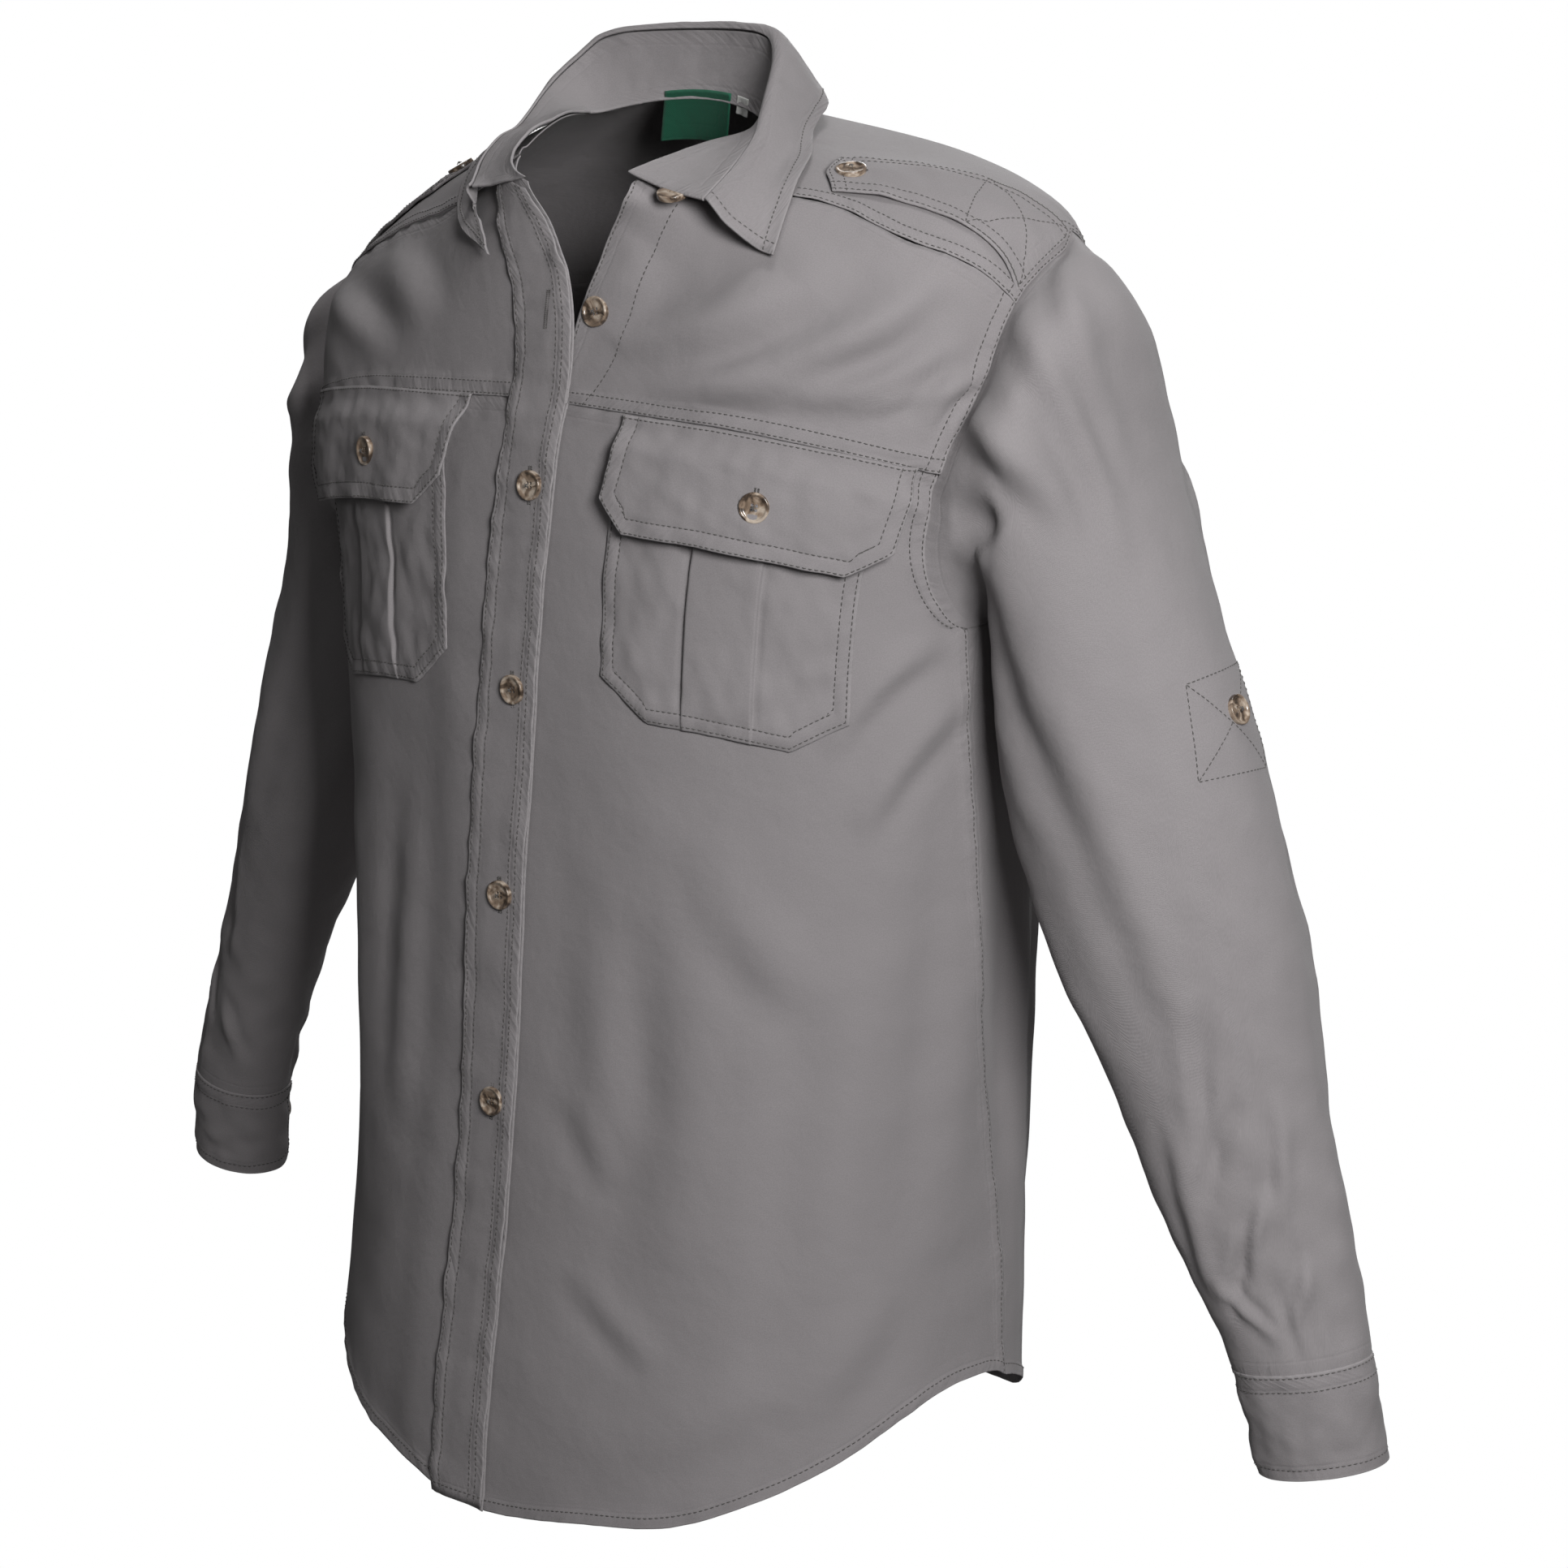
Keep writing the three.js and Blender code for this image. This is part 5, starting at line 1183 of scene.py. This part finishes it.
def buildCollar(s):
    share = np.linspace(0, 1, s["steps"] + 1)
    seam, stand, up, out = collarFrame(share)
    start = seam + up * 2 * s["gap"]
    overBand = 1 - smoothStep(s["bandEndShare"], s["bandEndShare"] + 0.03, share)
    standRows = []
    for v in (0, 0.35, 0.7, 1):
        row = start + stand * v + out * 2 * v * (1 - v)
        standRows.append(restOn(row, 4 * s["gap"] + v * s["standClearance"] + overBand * 2.0))
    standRows.insert(0, standRows[0] - up * s["tuck"] - out * 1.2)  # caught inside the neck edge
    standGrid = np.stack(standRows, 1)
    top = standGrid[:, -1]
    up = unit(top - standGrid[:, -2])
    along = np.concatenate([top[1:], top[-1:]]) - np.concatenate([top[:1], top[:-1]])
    out = unit(np.cross(up, along))
    centre = top + up * 4 * s["gap"] + out * (s["rollRadius"] - s["wall"] - s["gap"])
    end = readAt(collarEdge, share)
    fall = end - top
    turned = np.arctan2(np.sum(fall * out, -1), np.sum(fall * up, -1))[:, None]
    radius = s["rollRadius"]
    rows = [centre - out * radius * np.cos(turned * part) + up * radius * np.sin(turned * part)
            for part in (0, 1 / 3, 2 / 3, 1)]
    begin = rows[3]
    ahead = out * np.sin(turned) + up * np.cos(turned)
    bend = begin + ahead * np.linalg.norm(end - begin, axis=-1, keepdims=True) * 0.4
    rows += [begin * (1 - v) ** 2 + bend * 2 * v * (1 - v) + end * v * v for v in (0.25, 0.5, 0.75, 1)]
    fallGrid = restOn(np.stack(rows, 1), s["fallClearance"])
    columns = np.linspace(0, s["steps"], s["steps"] * s["finer"] + 1)
    standFine = refined(standGrid, columns, np.linspace(0, 4, 25))
    fallRows = np.concatenate([np.linspace(0, 3, 13)[:-1], np.linspace(3, 7, 33)])
    fallFine = refined(fallGrid, columns, fallRows)
    made = {}
    for name, points, outward in (("stand", standFine, -1), ("fall", fallFine, 1)):
        turn, down = np.gradient(points, axis=0), np.gradient(points, axis=1)
        normals = unit(np.cross(turn, down)) * outward
        edges = edgeDistances(points)
        ripple = (s["wave"] * softNoise(points, s["waveSize"], s["seed"])
                  + s["ripple"] * softNoise(points, s["rippleSize"], s["seed"] + 1))
        free = smoothStep(0, 14, edges["top"]) if name == "fall" else 0.5
        points = points + normals * (ripple * free)[..., None]
        made[name] = {"points": points, "normals": normals, "edges": edges}
    return made


collar = buildCollar(collarSettings)
makePiece("collar_stand", collar["stand"], doublePly)
makePiece("collar_fall", collar["fall"], doublePly)
for edgeSide in ("bottom", "left", "right"):
    stitchEdge("collar", collar["fall"], edgeSide, (6,))
for edgeSide, insets in (("top", (7, 13)), ("bottom", (1.5,)), ("left", (2, 5)), ("right", (2, 5))):
    stitchEdge("collar", collar["stand"], edgeSide, insets)
print("collar made")

# Buttonhole band down the edge of the right front
placketSettings = {"wide": 38, "inset": 0.4, "top": 0.14, "lift": 2.0, "topLift": 1.4, "thick": 1.1,
                   "buttonInset": 14, "ripple": 0.35, "rippleSize": 15, "seed": 61, "flat": (0.038, 0.66)}


def placketAt(across, v, lift):
    s = placketSettings
    bottom = hemStart(-1)[..., 1]
    level = s["top"] + (bottom - 0.02 - s["top"]) * v
    x = freeEdgeX(-1, level) - s["inset"] - across * (s["wide"] - s["inset"])
    spot = placeOf(aroundAtX(x, level), level)
    topLift = s["topLift"] * (1 - smoothStep(0.02, 0.12, v))
    return torsoPlace(spot, lapHeight(spot) + lift + topLift)


# A dip or ridge of height 1 about a middle
def hump(value, middle, wide):
    return np.exp(-((value - middle) / wide) ** 2)


def buildPlacket(s):
    across = np.array([0, 0.5, 1.3, 2.6, 4.5, 6.5, 9, 12, 15, 18, 21, 24, 27, 29.5, 32, 34, 35.8,
                       37, 37.6, 38]) / s["wide"]
    u, w = np.meshgrid(across, np.linspace(0, 1, 240), indexing="ij")
    fromEdge = np.minimum(u, 1 - u) * s["wide"]
    stitched = hump(fromEdge, 2.0, 1.2) + 0.7 * hump(fromEdge, 8.5, 1.3)
    lift = s["lift"] - 0.45 * stitched - 0.5 * hump(fromEdge, 0, 0.7)
    points, outward = placketAt(u, w, lift)
    normals = gridNormals(points, outward)
    held = hump(fromEdge, 0, 9)
    ripple = s["ripple"] * softNoise(points, s["rippleSize"], s["seed"]) * (0.4 + held)
    points = points + normals * ripple[..., None]
    return panelOf(points, outward)


placket = buildPlacket(placketSettings)
makePiece("placket", placket, placketSettings["thick"])
stitchEdge("placket", placket, "left", (4.6, 9))
stitchEdge("placket", placket, "right", (2, 8.5))
stitchEdge("placket", placket, "bottom", (5.6,))

# Chest pockets and flaps, measured across from the middle plane and down from the chest seam
arcAround = np.arange(0, 91)
arcPoints = torsoBase(arcAround, levelAtHeight(arcAround, -200))
arcLengths = np.concatenate([[0], np.cumsum(np.linalg.norm(np.diff(arcPoints, axis=0), axis=-1))])
chestPlaces = {1: {"pocketFrom": 60, "flapFrom": 64, "flapSlant": -9},
               -1: {"pocketFrom": 47, "flapFrom": 31, "flapSlant": 14}}
pocketSettings = {"wide": 131, "top": 16, "tall": 133, "cornerWide": 28, "cornerTall": 20, "pleat": 36,
                  "pleatLift": 1.6, "lift": 2.0, "wave": 1.0, "waveSize": 42, "ripple": 0.3,
                  "rippleSize": 15, "flat": (0.131, 0.135), "area": 0.0170, "seed": 71}
flapSettings = {"wide": 144, "top": 1, "tall": 56, "cornerWide": 17, "cornerTall": 16, "stand": 4.4,
                "tilt": 3, "lift": 2.6, "wave": 0.5, "waveSize": 26, "ripple": 0.2, "rippleSize": 13,
                "flat": (0.15, 0.060), "area": 0.0086, "seed": 81}


def onChest(side, across, down, lift):
    around = side * np.interp(across, arcLengths, arcAround)
    spot = placeOf(around, levelAtHeight(around, chestSeamZ(around) - down))
    if side < 0:
        lift = lift + lapHeight(spot)
    return torsoPlace(spot, lift)


# Length at each place across a piece with cut corners, and distances from its sides and low edge
def chamfered(across, v, s):
    fromSide = np.minimum(across, s["wide"] - across)
    tall = s["tall"] - s["cornerTall"] * np.maximum(0, 1 - fromSide / s["cornerWide"])
    slope = s["cornerTall"] / s["cornerWide"]
    fromLow = (1 - v) * tall / np.where(fromSide < s["cornerWide"], math.hypot(1, slope), 1)
    return tall, fromSide, fromLow


def buildPocket(side, s):
    pleatFrom = (s["wide"] - s["pleat"]) / 2
    half = np.concatenate([[0, 0.5, 1.2, 2.2, 4, 6, 7.6, 9], np.arange(11, pleatFrom - 1.5, 2.2),
                           pleatFrom + np.array([-1.2, -0.5, -0.1, 0.15, 1.2])])
    middle = np.linspace(half[-1], s["wide"] - half[-1], 14)[1:-1]
    across = np.concatenate([half, middle, (s["wide"] - half)[::-1]])
    down = np.concatenate([np.linspace(0, 0.92, 52), [0.935, 0.95, 0.965, 0.978, 0.987, 0.994, 1]])
    u, v = np.meshgrid(across, down, indexing="ij")
    tall, fromSide, fromLow = chamfered(u, v, s)
    fromEdge = np.minimum(fromSide, fromLow)
    onPleat = smoothStep(pleatFrom - 0.3, pleatFrom + 0.1, fromSide)
    flatEnd = smoothStep(0, 16, fromLow)
    stitched = hump(fromEdge, 2.0, 1.2) + 0.8 * hump(fromEdge, 8.0, 1.4)
    lift = s["lift"] - 1.0 * hump(fromEdge, 0, 1.1) - 0.4 * stitched
    lift = lift + onPleat * (0.5 + (s["pleatLift"] - 0.5) * flatEnd)
    lift = lift - 0.9 * flatEnd * hump(fromSide, pleatFrom - 1.3, 1.1)  # the fold's shadowed root
    puffed = smoothStep(4, 40, fromEdge)
    points, outward = onChest(side, chestPlaces[side]["pocketFrom"] + u, s["top"] + v * tall, lift)
    ripple = (s["wave"] * puffed * softNoise(points * (1, 1, 0.7), s["waveSize"], s["seed"] + side)
              + s["ripple"] * softNoise(points, s["rippleSize"], s["seed"] + 3))
    points = points + outward * np.maximum(ripple, -0.9)[..., None]
    return panelOf(points, outward, fromEdge=fromEdge)


def buildFlap(side, s):
    near = np.array([0, 0.5, 1.2, 2.4, 4.5, 6.5, 8, 9.5])
    across = np.concatenate([near, np.arange(12, s["wide"] - 11, 2.6), (s["wide"] - near)[::-1]])
    v = np.concatenate([np.linspace(0, 0.8, 26), [0.83, 0.855, 0.88, 0.91, 0.94, 0.962, 0.98, 0.99, 1]])
    u, w = np.meshgrid(across, v, indexing="ij")
    tall, fromSide, fromLow = chamfered(u, w, s)
    down = w * tall
    fromEdge = np.minimum(fromSide, fromLow)
    away = smoothStep(4, 17, down) * s["stand"] + smoothStep(10, s["tall"], down) * s["tilt"]
    slant = chestPlaces[side]["flapSlant"] * down / s["tall"]
    lift = s["lift"] + away - 0.35 * hump(fromEdge, 8.0, 1.5) - 0.35 * hump(fromEdge, 0, 0.6)
    points, outward = onChest(side, chestPlaces[side]["flapFrom"] + u + slant, s["top"] + down, lift)
    free = smoothStep(2, 20, down)
    wave = np.stack([u, 0.35 * down, 0 * u], -1)
    ripple = (s["wave"] * free * softNoise(wave, s["waveSize"], s["seed"] + side)
              + s["ripple"] * softNoise(points, s["rippleSize"], s["seed"] + 2))
    points = points + outward * ripple[..., None]
    return panelOf(points, outward, fromEdge=fromEdge)


# Stitches where the distance from the nearest free edge is inset, followed round the piece
def stitchInside(group, panel, inset):
    points, normals, fromEdge = panel["points"], panel["normals"], panel["fromEdge"]
    columns, rows = fromEdge.shape
    path, ups = [], []

    def onLine(distance, line, lineNormals):
        path.append([np.interp(inset, distance, line[:, k]) for k in range(3)])
        ups.append([np.interp(inset, distance, lineNormals[:, k]) for k in range(3)])

    half = columns // 2
    reach = int(np.argmin(np.abs(fromEdge[:half, 0] - inset)))
    for j in range(rows):  # down the left side while the side edge is the nearest
        if np.argmax(fromEdge[:half, j]) < 1 or fromEdge[:half, j].max() < inset:
            break
        onLine(fromEdge[:half, j], points[:half, j], normals[:half, j])
    for i in range(columns):  # along the lower edge
        column = fromEdge[i, ::-1]
        if column.max() <= inset or i <= reach or i >= columns - 1 - reach:
            continue
        top = int(np.argmax(column > inset)) + 1
        onLine(column[:top], points[i, ::-1][:top], normals[i, ::-1][:top])
    for j in range(rows - 1, -1, -1):  # up the right side
        if fromEdge[half:, j].max() < inset:
            continue
        onLine(fromEdge[half:, j][::-1], points[half:, j][::-1], normals[half:, j][::-1])
    path, ups = np.array(path), np.array(ups)
    jumps = np.linalg.norm(np.diff(path, axis=0), axis=-1)
    keep = np.concatenate([[True], jumps > 0.01])
    path, ups = path[keep], ups[keep]
    breaks = np.where(np.linalg.norm(np.diff(path, axis=0), axis=-1) > 12)[0] + 1
    for part, partUps in zip(np.split(path, breaks), np.split(ups, breaks)):
        if len(part) > 2:
            addStitches(group, part, unit(partUps))


for side, sideName in sides:
    for part, build, s, thick, insets in (("pocket_", buildPocket, pocketSettings, ply, (2, 8)),
                                          ("flap_", buildFlap, flapSettings, doublePly, (1.2, 8))):
        panel = build(side, s)
        makePiece(part + sideName, panel, thick)
        for inset in insets:
            stitchInside(part + sideName, panel, inset)
    stitchEdge("flap_" + sideName, panel, "top", (1.5,))
print("pockets and flaps made")

# Shoulder straps, pointed towards the neck and caught in the armhole seam
strapSettings = {"from": (66, 1.55), "to": (82, 1.0), "endFrom": 2.9, "endTo": 0.7, "endShare": 0.965,
                 "point": 0.09, "lift": 2.6, "wide": 48, "tall": 112, "cell": 2.6, "showsWide": 44,
                 "showsTall": 105, "ripple": 0.3, "rippleSize": 16, "flat": (0.048, 0.125),
                 "area": 0.0058, "seed": 91}


def strapAt(side, u, v, lift):
    s = strapSettings
    around, level = (s["from"][k] + (s["to"][k] - s["from"][k]) * u for k in (0, 1))
    start = placeOf(side * around, level)
    end = armholePlace(s["endFrom"] + (s["endTo"] - s["endFrom"]) * u, side)
    pointed = (np.abs(u - 0.5) - 0.5) * s["point"]
    return torsoPlace(mixed(start, end, pointed + (s["endShare"] - pointed) * v), lift)


def buildStrap(side, s):
    u, v = np.meshgrid(gridLines(s["wide"], s["cell"]), gridLines(s["tall"], s["cell"]), indexing="ij")
    near = np.minimum(np.minimum(u, 1 - u) * s["showsWide"], v * s["showsTall"])
    stitched = hump(near, 2.0, 1.2) + 0.6 * hump(near, 7.5, 1.4)
    lift = s["lift"] - 0.4 * stitched - 0.5 * hump(near, 0, 0.7)
    points, outward = strapAt(side, u, v, lift)
    points = points + outward * (s["ripple"] * softNoise(points, s["rippleSize"], s["seed"]))[..., None]
    return panelOf(points, outward)


strapBox = [(0.08, 0.58), (0.92, 0.58), (0.92, 0.97), (0.08, 0.97), (0.08, 0.58), (0.92, 0.97)]
for side, sideName in sides:
    strap = buildStrap(side, strapSettings)
    makePiece("epaulette_" + sideName, strap, doublePly)
    for edgeSide in ("left", "right", "top"):
        stitchEdge("epaulette_" + sideName, strap, edgeSide, (2, 7.5))
    stitchAcross("epaulette_" + sideName, strap, strapBox)
    stitchAcross("epaulette_" + sideName, strap, [strapBox[1], strapBox[3]])

# Neck label and size tab, left bare, hanging from the neck seam inside the back
labelSettings = {
    "neck_label": {"from": 162, "to": 202, "tall": 25, "lean": 3, "slot": "greenLabel",
                   "flat": (0.046, 0.025)},
    "size_tab": {"from": 148, "to": 157, "tall": 9, "lean": 1, "slot": "whiteTape", "flat": (0.01, 0.01)},
}
tapeThick = 0.4
for name, s in labelSettings.items():
    u, v = np.meshgrid(np.linspace(0, 1, 24), np.linspace(0, 1, 14), indexing="ij")
    points = torsoAt(s["from"] + (s["to"] - s["from"]) * u, np.zeros(u.shape), np.zeros(u.shape))
    lean = 2.3 + s["lean"] * v + 0.5 * np.sin(u * 7) * v
    points = points + np.stack([0 * u, -lean, 2 - s["tall"] * v], -1)
    outward = np.broadcast_to(np.array([0, -1.0, 0]), points.shape)
    makePiece(name, panelOf(points, outward), tapeThick, slotName=s["slot"])
print("straps and labels made")

# Horn buttons, modelled once and copied
buttonSettings = {"wide": 0.015, "thick": 0.003, "rim": 0.0012, "rimSlope": 0.0007, "dish": 0.0009,
                  "innerDish": 0.0002, "innerSlope": 0.0014, "round": 0.0005, "holeApart": 0.0030,
                  "holeWide": 0.0017}


def makeButton(s):
    bpy.ops.object.select_all(action="DESELECT")
    bpy.ops.mesh.primitive_cylinder_add(vertices=40, radius=s["wide"] / 2, depth=s["thick"],
                                        location=(0, 0, s["thick"] / 2))
    button = bpy.context.object
    bpy.ops.object.mode_set(mode="EDIT")
    bpy.ops.mesh.select_all(action="DESELECT")
    bpy.ops.object.mode_set(mode="OBJECT")
    for face in button.data.polygons:
        face.select = face.normal.z > 0.9
    bpy.ops.object.mode_set(mode="EDIT")
    bpy.ops.mesh.inset(thickness=s["rim"])
    bpy.ops.mesh.inset(thickness=s["rimSlope"])
    bpy.ops.transform.translate(value=(0, 0, -s["dish"]))
    bpy.ops.mesh.inset(thickness=s["innerSlope"])
    bpy.ops.transform.translate(value=(0, 0, -s["innerDish"]))
    bpy.ops.object.mode_set(mode="OBJECT")
    soft = button.modifiers.new("rim", "BEVEL")
    soft.width = s["round"]
    soft.segments = 3
    soft.limit_method = "ANGLE"
    soft.angle_limit = math.radians(35)
    bpy.ops.object.modifier_apply(modifier="rim")
    for k in range(4):
        angle = math.pi / 4 + k * math.pi / 2
        bpy.ops.object.select_all(action="DESELECT")
        bpy.ops.mesh.primitive_cylinder_add(
            vertices=12, radius=s["holeWide"] / 2, depth=0.01,
            location=(math.cos(angle) * s["holeApart"] / 2, math.sin(angle) * s["holeApart"] / 2, 0))
        drill = bpy.context.object
        keepOnly(button)
        cut = button.modifiers.new("hole", "BOOLEAN")
        cut.object = drill
        cut.operation = "DIFFERENCE"
        bpy.ops.object.modifier_apply(modifier="hole")
        bpy.data.objects.remove(drill)
    keepOnly(button)
    bpy.ops.object.shade_smooth_by_angle(angle=math.radians(50))
    return button


def makeHorn():
    material, tree, shader = newMaterial("horn")
    place = tree.nodes.new("ShaderNodeTexCoord").outputs["Object"]
    marble = tree.nodes.new("ShaderNodeTexNoise")
    marble.inputs["Scale"].default_value = 120
    marble.inputs["Detail"].default_value = 3
    marble.inputs["Distortion"].default_value = 1.6
    tree.links.new(place, marble.inputs["Vector"])
    ramp = tree.nodes.new("ShaderNodeValToRGB")
    ramp.color_ramp.elements[0].position = 0.36
    ramp.color_ramp.elements[0].color = (0.050, 0.034, 0.024, 1)
    ramp.color_ramp.elements[1].position = 0.66
    ramp.color_ramp.elements[1].color = (0.46, 0.39, 0.32, 1)
    tan = ramp.color_ramp.elements.new(0.5)
    tan.color = (0.22, 0.16, 0.115, 1)
    tree.links.new(marble.outputs["Fac"], ramp.inputs["Fac"])
    tree.links.new(ramp.outputs["Color"], shader.inputs["Base Color"])
    tree.links.new(bumpNode(tree, 0.08, 0.0002, noiseNode(tree, place, 900)), shader.inputs["Normal"])
    shader.inputs["Roughness"].default_value = 0.28
    shader.inputs["Coat Weight"].default_value = 0.5
    shader.inputs["Coat Roughness"].default_value = 0.12
    return material


buttonPattern = makeButton(buttonSettings)
buttonPattern.data.materials.append(makeHorn())

crossSettings = {"height": 2.3, "swell": 0.35, "half": 1.7,
                 "thread": {"pitch": 3.4, "long": 3.0, "thick": 0.38, "rise": 0.25, "dip": -0.3}}
holeSettings = {"long": 19, "apart": 0.75, "turn": 90,
                "thread": {"pitch": 0.95, "long": 0.85, "thick": 0.5, "rise": 0.2, "dip": -0.1}}


# Thread cross over the holes of a button whose middle, across and normal are known
def sewButton(group, centre, across, normal, s):
    sideways = np.cross(normal, across)
    for mirrored in (1, -1):
        direction = unit(across + mirrored * sideways)
        share = np.linspace(-1, 1, 9)[:, None]
        height = s["height"] + s["swell"] * (1 - share ** 2)
        path = centre + normal * height + direction * share * s["half"]
        addStitches(group, path, np.broadcast_to(normal, path.shape), s["thread"])


# A worked buttonhole under a button: two close rows of thread beside a slit
def workHole(group, surface, lift, s):
    turned = math.radians(s["turn"])
    across, down = math.cos(turned), math.sin(turned)
    for sideways in (-1, 1):
        share = np.linspace(-0.5, 0.5, 24)
        x = share * s["long"] * across - sideways * s["apart"] * down
        z = share * s["long"] * down + sideways * s["apart"] * across
        path = np.array([surface(a, b, lift) for a, b in zip(x, z)])
        above = np.array([surface(a, b, lift + 1) for a, b in zip(x, z)])
        addStitches(group, path, unit(above - path), s["thread"])


# surface gives a point for millimetres across, millimetres down and a lift above the cloth
def addButton(name, surface, lift, group):
    centre = surface(0.0, 0.0, lift)
    across = unit(surface(2.0, 0.0, lift) - centre)
    down = surface(0.0, 2.0, lift) - centre
    normal = unit(np.cross(across, down))
    if np.dot(normal, surface(0.0, 0.0, lift + 2) - centre) < 0:
        normal = -normal
    upward = unit(np.cross(normal, across))
    turn = Matrix(np.column_stack([across, upward, normal]).tolist()).to_4x4()
    mesh = buttonPattern.data.copy()
    mesh.transform(Matrix.Translation(Vector(centre * metres)) @ turn)
    button = bpy.data.objects.new(name + "_horn", mesh)
    bpy.context.scene.collection.objects.link(button)
    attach(button, "root")
    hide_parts(name)
    sewButton(group, centre, across, normal, crossSettings)


# Places: heights from the shoulders, distances down a piece, shares of a piece, steps and runs of a sleeve
buttonPlaces = {
    "front": {"heights": (-170, -272, -378, -486), "openHole": -86, "lift": 2.5, "holeLift": 2.1},
    "openFront": {"around": 15, "height": -83, "x": 45, "lift": 0.5},
    "flap": {"down": 33, "lift": 8.8, "holeLift": 8.6},
    "strap": {"start": (74.0, 1.27), "end": 1.8, "share": 0.05, "lift": 2.9, "holeLift": 2.7},
    "sleeveTab": {"step": 23.3, "run": 3.07, "lift": 0.4},
    "cuff": {"share": {1: 0.93, -1: 0.07}, "down": 0.45, "over": 0.6, "lift": 0.6},
    "stand": {"up": 0.55, "lift": 1.2},
}


def frontSurface(height):
    middle = float(freeEdgeX(-1, levelAtHeight(0, height))) - placketSettings["buttonInset"]

    def surface(x, z, lift):
        level = levelAtHeight(0, height - z)
        spot = placeOf(aroundAtX(middle + x, level), level)
        return torsoPlace(spot, lapHeight(spot) + lift)[0]
    return surface


def openFrontSurface(x, z, lift):
    s = buttonPlaces["openFront"]
    level = levelAtHeight(s["around"], s["height"] - z)
    return torsoAt(aroundAtX(np.array(s["x"] + x), level), level, np.array(float(lift)))


def flapSurface(side):
    middle, down = chestPlaces[side]["flapFrom"] + flapSettings["wide"] / 2, buttonPlaces["flap"]["down"]

    def surface(x, z, lift):
        return onChest(side, np.array(middle + x), np.array(down + z), np.array(float(lift)))[0]
    return surface


def onGrid(pointAt, outwards):
    def surface(right, below, lift):
        step = 0.01
        x, z = right * step, below * step
        across = pointAt(x + step, z) - pointAt(x - step, z)
        down = pointAt(x, z + step) - pointAt(x, z - step)
        return pointAt(x, z) + unit(np.cross(across, down)) * lift * outwards
    return surface


def strapSurface(side):
    s = buttonPlaces["strap"]
    begin = placeOf(side * s["start"][0], s["start"][1])
    end = armholePlace(np.array(s["end"]), side)

    def surface(x, z, lift):
        spot = mixed(begin, end, np.array(s["share"] + x * 0.006)) + np.array([z * 0.5, 0])
        return torsoPlace(spot, np.array(float(lift)))[0]
    return surface


def sleeveTabSurface(side):
    s = buttonPlaces["sleeveTab"]

    def pointAt(x, z):
        return sleeveAt(np.array(s["step"] + x), np.array(s["run"] + z), side, np.array(0.0))[0]
    return onGrid(pointAt, side)


def cuffSurface(side):
    s = buttonPlaces["cuff"]

    def pointAt(x, z):
        return cuffAt(side, s["share"][side] + x, s["down"] + z, np.array(s["over"]))[0]
    return onGrid(pointAt, side)


def standPoint(x, z):
    seam, stand, _, _ = collarFrame(np.array([min(1 + x, 1.0)]))
    raised = seam + stand * (buttonPlaces["stand"]["up"] + z)
    return restOn(raised, collarSettings["standClearance"])[0]


def standSurface(x, z, lift):
    step = 0.01
    across = standPoint(0, 0) - standPoint(-step, 0)
    down = standPoint(0, step) - standPoint(0, -step)
    normal = -unit(np.cross(across, down))
    return standPoint(0, 0) + unit(across) * x + unit(down) * z + normal * lift


# A button that is sewn on, with its buttonhole where the place has one
def fasten(name, kind, surface, group, turn=holeSettings["turn"]):
    s = buttonPlaces[kind]
    addButton(name, surface, s["lift"], group)
    if "holeLift" in s:
        workHole(group, surface, s["holeLift"], {**holeSettings, "turn": turn})


for index, height in enumerate(buttonPlaces["front"]["heights"]):
    fasten(f"front_button_{index + 2}", "front", frontSurface(height), "placket")
workHole("placket", frontSurface(buttonPlaces["front"]["openHole"]), buttonPlaces["front"]["holeLift"],
         holeSettings)
fasten("front_button_1", "openFront", openFrontSurface, "front_left")
for side, sideName in sides:
    fasten("flap_button_" + sideName, "flap", flapSurface(side), "flap_" + sideName)
    fasten("epaulette_button_" + sideName, "strap", strapSurface(side), "epaulette_" + sideName, 0)
    fasten("sleeve_tab_button_" + sideName, "sleeveTab", sleeveTabSurface(side), "sleeve_" + sideName)
    fasten("cuff_button_" + sideName, "cuff", cuffSurface(side), "cuff_" + sideName)
fasten("stand_button", "stand", standSurface, "collar")
bpy.data.objects.remove(buttonPattern)
print("buttons made")

# All threads of one piece as one mesh, in the thread cloth whose dark colour is partly painted shade
for group, parts in threadRows.items():
    vertices, faces, offset = [], [], 0
    for rowVertices, rowFaces in parts:
        vertices.append(rowVertices)
        faces.append(rowFaces + offset)
        offset += len(rowVertices)
    threads = meshObject("stitching_" + group, np.concatenate(vertices), np.concatenate(faces),
                         cloths["thread"])
    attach(threads, "root")
